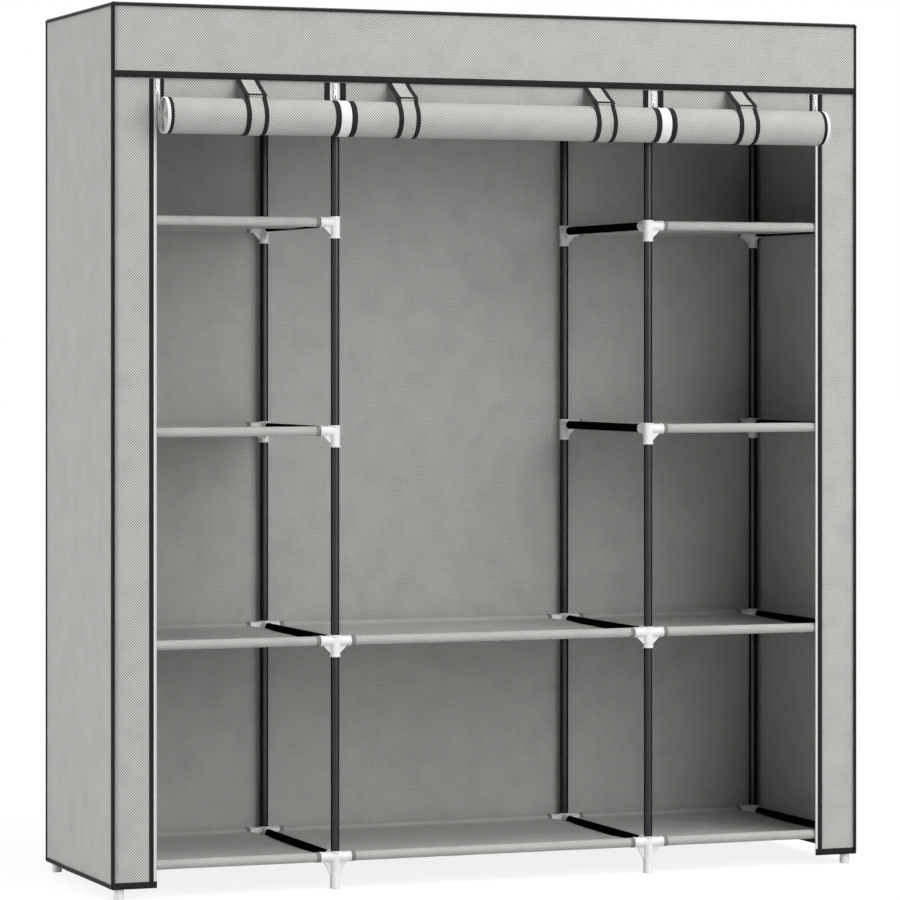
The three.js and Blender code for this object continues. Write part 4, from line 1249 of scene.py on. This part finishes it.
class WARDROBE_OT_straps(bpy.types.Operator):
    """Makes the four door straps: a short tab from under the valance and a wrap round the roll"""
    bl_idname = "wardrobe.straps"
    bl_label = "Door straps"

    def execute(self, context):
        for name in ("left_door", "centre_door_left", "centre_door_right", "right_door"):
            self.add_strap(name, centre(f"strap_{name}").x, context.scene.wardrobe_cloth.strap_width)
        return {"FINISHED"}

    def add_strap(self, name, x, width):
        """The wrap leaves the tab's end for the roll, goes round it and rises behind the door."""
        node, clear, before, above = f"strap_{name}", 0.45 * MM, 13.6 * MM, 40.4 * MM
        radius = ROLL_RADIUS + clear + STRAP_CLOTH / 2
        tab_y, tab_z = ROLL_Y - before, ROLL_Z + above
        rear_y = high(node).y - STRAP_CLOTH / 2
        reach = math.hypot(tab_y - ROLL_Y, tab_z - ROLL_Z)
        lean = math.degrees(math.atan2(tab_z - ROLL_Z, tab_y - ROLL_Y))
        leave = lean + math.degrees(math.acos(radius / reach))
        first_y, first_z = roll_point(radius, leave)
        spots = [(tab_y + 3 * MM, tab_z + 2.6 * MM), (tab_y, tab_z)]
        spots += [(tab_y + (first_y - tab_y) * s, tab_z + (first_z - tab_z) * s) for s in (0.33, 0.66)]
        spots += [roll_point(radius, a) for a in between(leave, 322, 30)]
        last_y, last_z = spots[-1]
        spots += [(last_y + (rear_y - last_y) * 0.6, last_z + 7 * MM), (rear_y, last_z + 16 * MM)]
        spots += [(rear_y, z) for z in between(last_z + 24 * MM, high(node).z, 8)]
        self.add_ribbon(f"strap_wrap_{name}", x, width, spots, [node], "stretched",
                        [f"rolled_door_{name.split('_')[0]}"], lambda: [])
        # The tab is a little wider than the wrap. It sags, and bends in over the wrap's edge.
        shift, extra, proud, sag = 0.6 * MM, 1 * MM, 1.9 * MM, 1.2 * MM
        mid, wide = x + shift, width + extra
        start_y = low("cover_strip_left").y - 0.9 * MM
        end_y, end_z = tab_y - proud * 0.75, tab_z + proud * 0.6
        from_y, from_z = start_y - 0.5 * MM, VALANCE_Z + 1.5 * MM
        tab = [(start_y, VALANCE_Z + 7 * MM), (from_y, from_z)]
        tab += [(from_y + (end_y - from_y) * s,
                 from_z + (end_z - from_z) * s - math.sin(math.pi * s) * sag)
                for s in (0.12, 0.3, 0.5, 0.7, 0.88, 1.0)]
        tab.append((end_y - 3.2 * MM, end_z - 4.2 * MM))
        slope = Vector((0, -3.2, -4.2)).normalized()

        def closings():
            """The black end of the tab and the fold of cloth below it, as bands across it."""
            pieces = []
            for label, key, along, deep, inset in (("end", "binding", 2.2, 4.6, 3),
                                                   ("fold", "cloth", 5.6, 2.6, 9.6)):
                spot = Vector((mid, end_y, end_z)) + slope * along * MM
                half = wide / 2 - inset * MM
                pieces.append(add_band(f"strap_tab_{label}_{name}", [spot + X * s for s in (-half, 0, half)],
                                       slope, slope.cross(X), deep * MM, 2.2 * MM, key, "strap_cloth"))
            return pieces

        self.add_ribbon(f"strap_tab_{name}", mid, wide, tab, (), "hung", [f"strap_wrap_{name}"],
                        closings)

    def add_ribbon(self, name, x, wide, spots, replaced, held, rests_on, extras):
        """One length of strap: cloth whose edges end inside its two bindings, with its extras."""
        path, bound, waver = yz_path(x, spots), 4.5 * MM, 0.25 * MM
        out, half = outward(path), wide / 2 - bound
        columns = between(-half, half, 7)
        rows = [[p + X * s + n * waver * noise.noise(Vector((s * 60, i * 0.5, x * 9)))
                 for s in columns] for i, (p, n) in enumerate(zip(path, out))]
        form = Form().skin(rows, running(path), [c + half for c in columns])
        piece = place(name, form, "cloth", "strap_cloth", replaced, STRAP_CLOTH)
        pieces = []
        for side, sign in SIDES:
            shaded_edge = yz_path(x + sign * (wide - STRAP_EDGE) / 2, spots)
            pieces.append(add_band(f"{name}_binding_{side}", shaded_edge, X, outward(shaded_edge), STRAP_EDGE,
                                   STRAP_EDGE_THICK, slot="strap_cloth"))
        running(path)[-1]
        pieces + extras()


# Stage

# The camera is the one that a perspective fit of the photograph gave.
CAMERA_PLACE, CAMERA_YAW = (-2.84693, -7.36354, 1.01009), -20.993
CAMERA_LENS, CAMERA_SENSOR, CAMERA_SHIFT = 164.445, 36, -0.1185
# Each lamp has its azimuth and height in degrees.
LAMPS = {"key": (22, 20), "fill": (-100, 15), "top": (20, 70)}
SCREEN_AWAY, SCREEN_SPREAD, SUN_SPREAD = 7.0, 25, 45
FLOOR_HALF = 60.0


class WARDROBE_OT_stage(bpy.types.Operator):
    """Makes the camera at the photograph's angle, the floor and the soft studio lights"""
    bl_idname = "wardrobe.stage"
    bl_label = "Stage"

    def execute(self, context):
        scene = context.scene
        settings = scene.wardrobe_stage
        camera = bpy.data.cameras.new("camera")
        camera.sensor_width, camera.lens, camera.shift_y = CAMERA_SENSOR, CAMERA_LENS, CAMERA_SHIFT
        camera.clip_end = 200
        scene.camera = helper("camera", camera)
        scene.camera.location = CAMERA_PLACE
        scene.camera.rotation_euler = (math.radians(90), 0, math.radians(CAMERA_YAW))
        for name, (azimuth, height) in LAMPS.items():
            a, e = math.radians(azimuth), math.radians(height)
            towards = Vector((math.sin(a) * math.cos(e), -math.cos(a) * math.cos(e), math.sin(e)))
            strength, away = getattr(settings, name), 0
            if name == "key":
                # A screen near enough that the cover's front is a little brighter on its right.
                away, spread = SCREEN_AWAY, math.radians(SCREEN_SPREAD)
                lamp = bpy.data.lights.new(name, "AREA")
                lamp.shape, lamp.size = "DISK", 2 * away * math.tan(spread)
                area = math.pi * (lamp.size / 2) ** 2
                lamp.energy = strength * area / (2 * (1 - math.cos(spread)))
            else:
                lamp = bpy.data.lights.new(name, "SUN")
                lamp.energy, lamp.angle = strength, math.radians(SUN_SPREAD)
            shone = helper(name, lamp)
            shone.location = (CAD_BOX[0] + CAD_BOX[1]) / 2 + towards * away
            shone.rotation_euler = towards.to_track_quat("Z", "Y").to_euler()
        scene.world = bpy.data.worlds.new("studio")
        scene.world.use_nodes = True
        tree, ambient = scene.world.node_tree, settings.ambient
        strength = weighed(tree, ambient, (seen_rays(tree), 1 - ambient))
        set_inputs(tree, tree.nodes["Background"], {"Color": (1, 1, 1, 1), "Strength": strength})
        ends = (-FLOOR_HALF, FLOOR_HALF)
        form = Form().skin([[(x, y, 0) for x in ends] for y in ends], [0, 2 * FLOOR_HALF],
                           [0, 2 * FLOOR_HALF])
        data = form.mesh("floor", is_cloth=True)
        data.materials.append(material("floor"))
        helper("floor", data)
        scene.view_settings.view_transform = "Standard"
        return {"FINISHED"}


class WARDROBE_PT_panel(bpy.types.Panel):
    """Lists the wardrobe's settings and pieces"""
    bl_idname = "WARDROBE_PT_panel"
    bl_label = "Fabric wardrobe"
    bl_space_type = "VIEW_3D"
    bl_region_type = "UI"
    bl_category = "Wardrobe"

    def draw(self, context):
        for group in GROUPS:
            box = self.layout.box()
            settings = getattr(context.scene, group)
            for name in settings.bl_rna.properties.keys():
                if name not in ("rna_type", "name"):
                    box.prop(settings, name)
        for operator in OPERATORS:
            self.layout.operator(operator.bl_idname)


GROUPS = {
    "wardrobe_frame": FrameSettings,
    "wardrobe_cloth": ClothSettings,
    "wardrobe_zips": ZipSettings,
    "wardrobe_stage": StageSettings,
}
OPERATORS = (
    WARDROBE_OT_stage, WARDROBE_OT_tubes, WARDROBE_OT_connectors, WARDROBE_OT_hanging_rail,
    WARDROBE_OT_shelves, WARDROBE_OT_cover, WARDROBE_OT_straps, WARDROBE_OT_doors,
    WARDROBE_OT_zips,
)


def register():
    for item in (*GROUPS.values(), *OPERATORS, WARDROBE_PT_panel):
        bpy.utils.register_class(item)
    for name, group in GROUPS.items():
        setattr(bpy.types.Scene, name, bpy.props.PointerProperty(type=group))


def unregister():
    for name in GROUPS:
        delattr(bpy.types.Scene, name)
    for item in (WARDROBE_PT_panel, *reversed(OPERATORS), *reversed(list(GROUPS.values()))):
        bpy.utils.unregister_class(item)


def main():
    register()
    for operator in OPERATORS:
        area, name = operator.bl_idname.split(".")
        getattr(getattr(bpy.ops, area), name)()


if __name__ == "__main__":
    main()
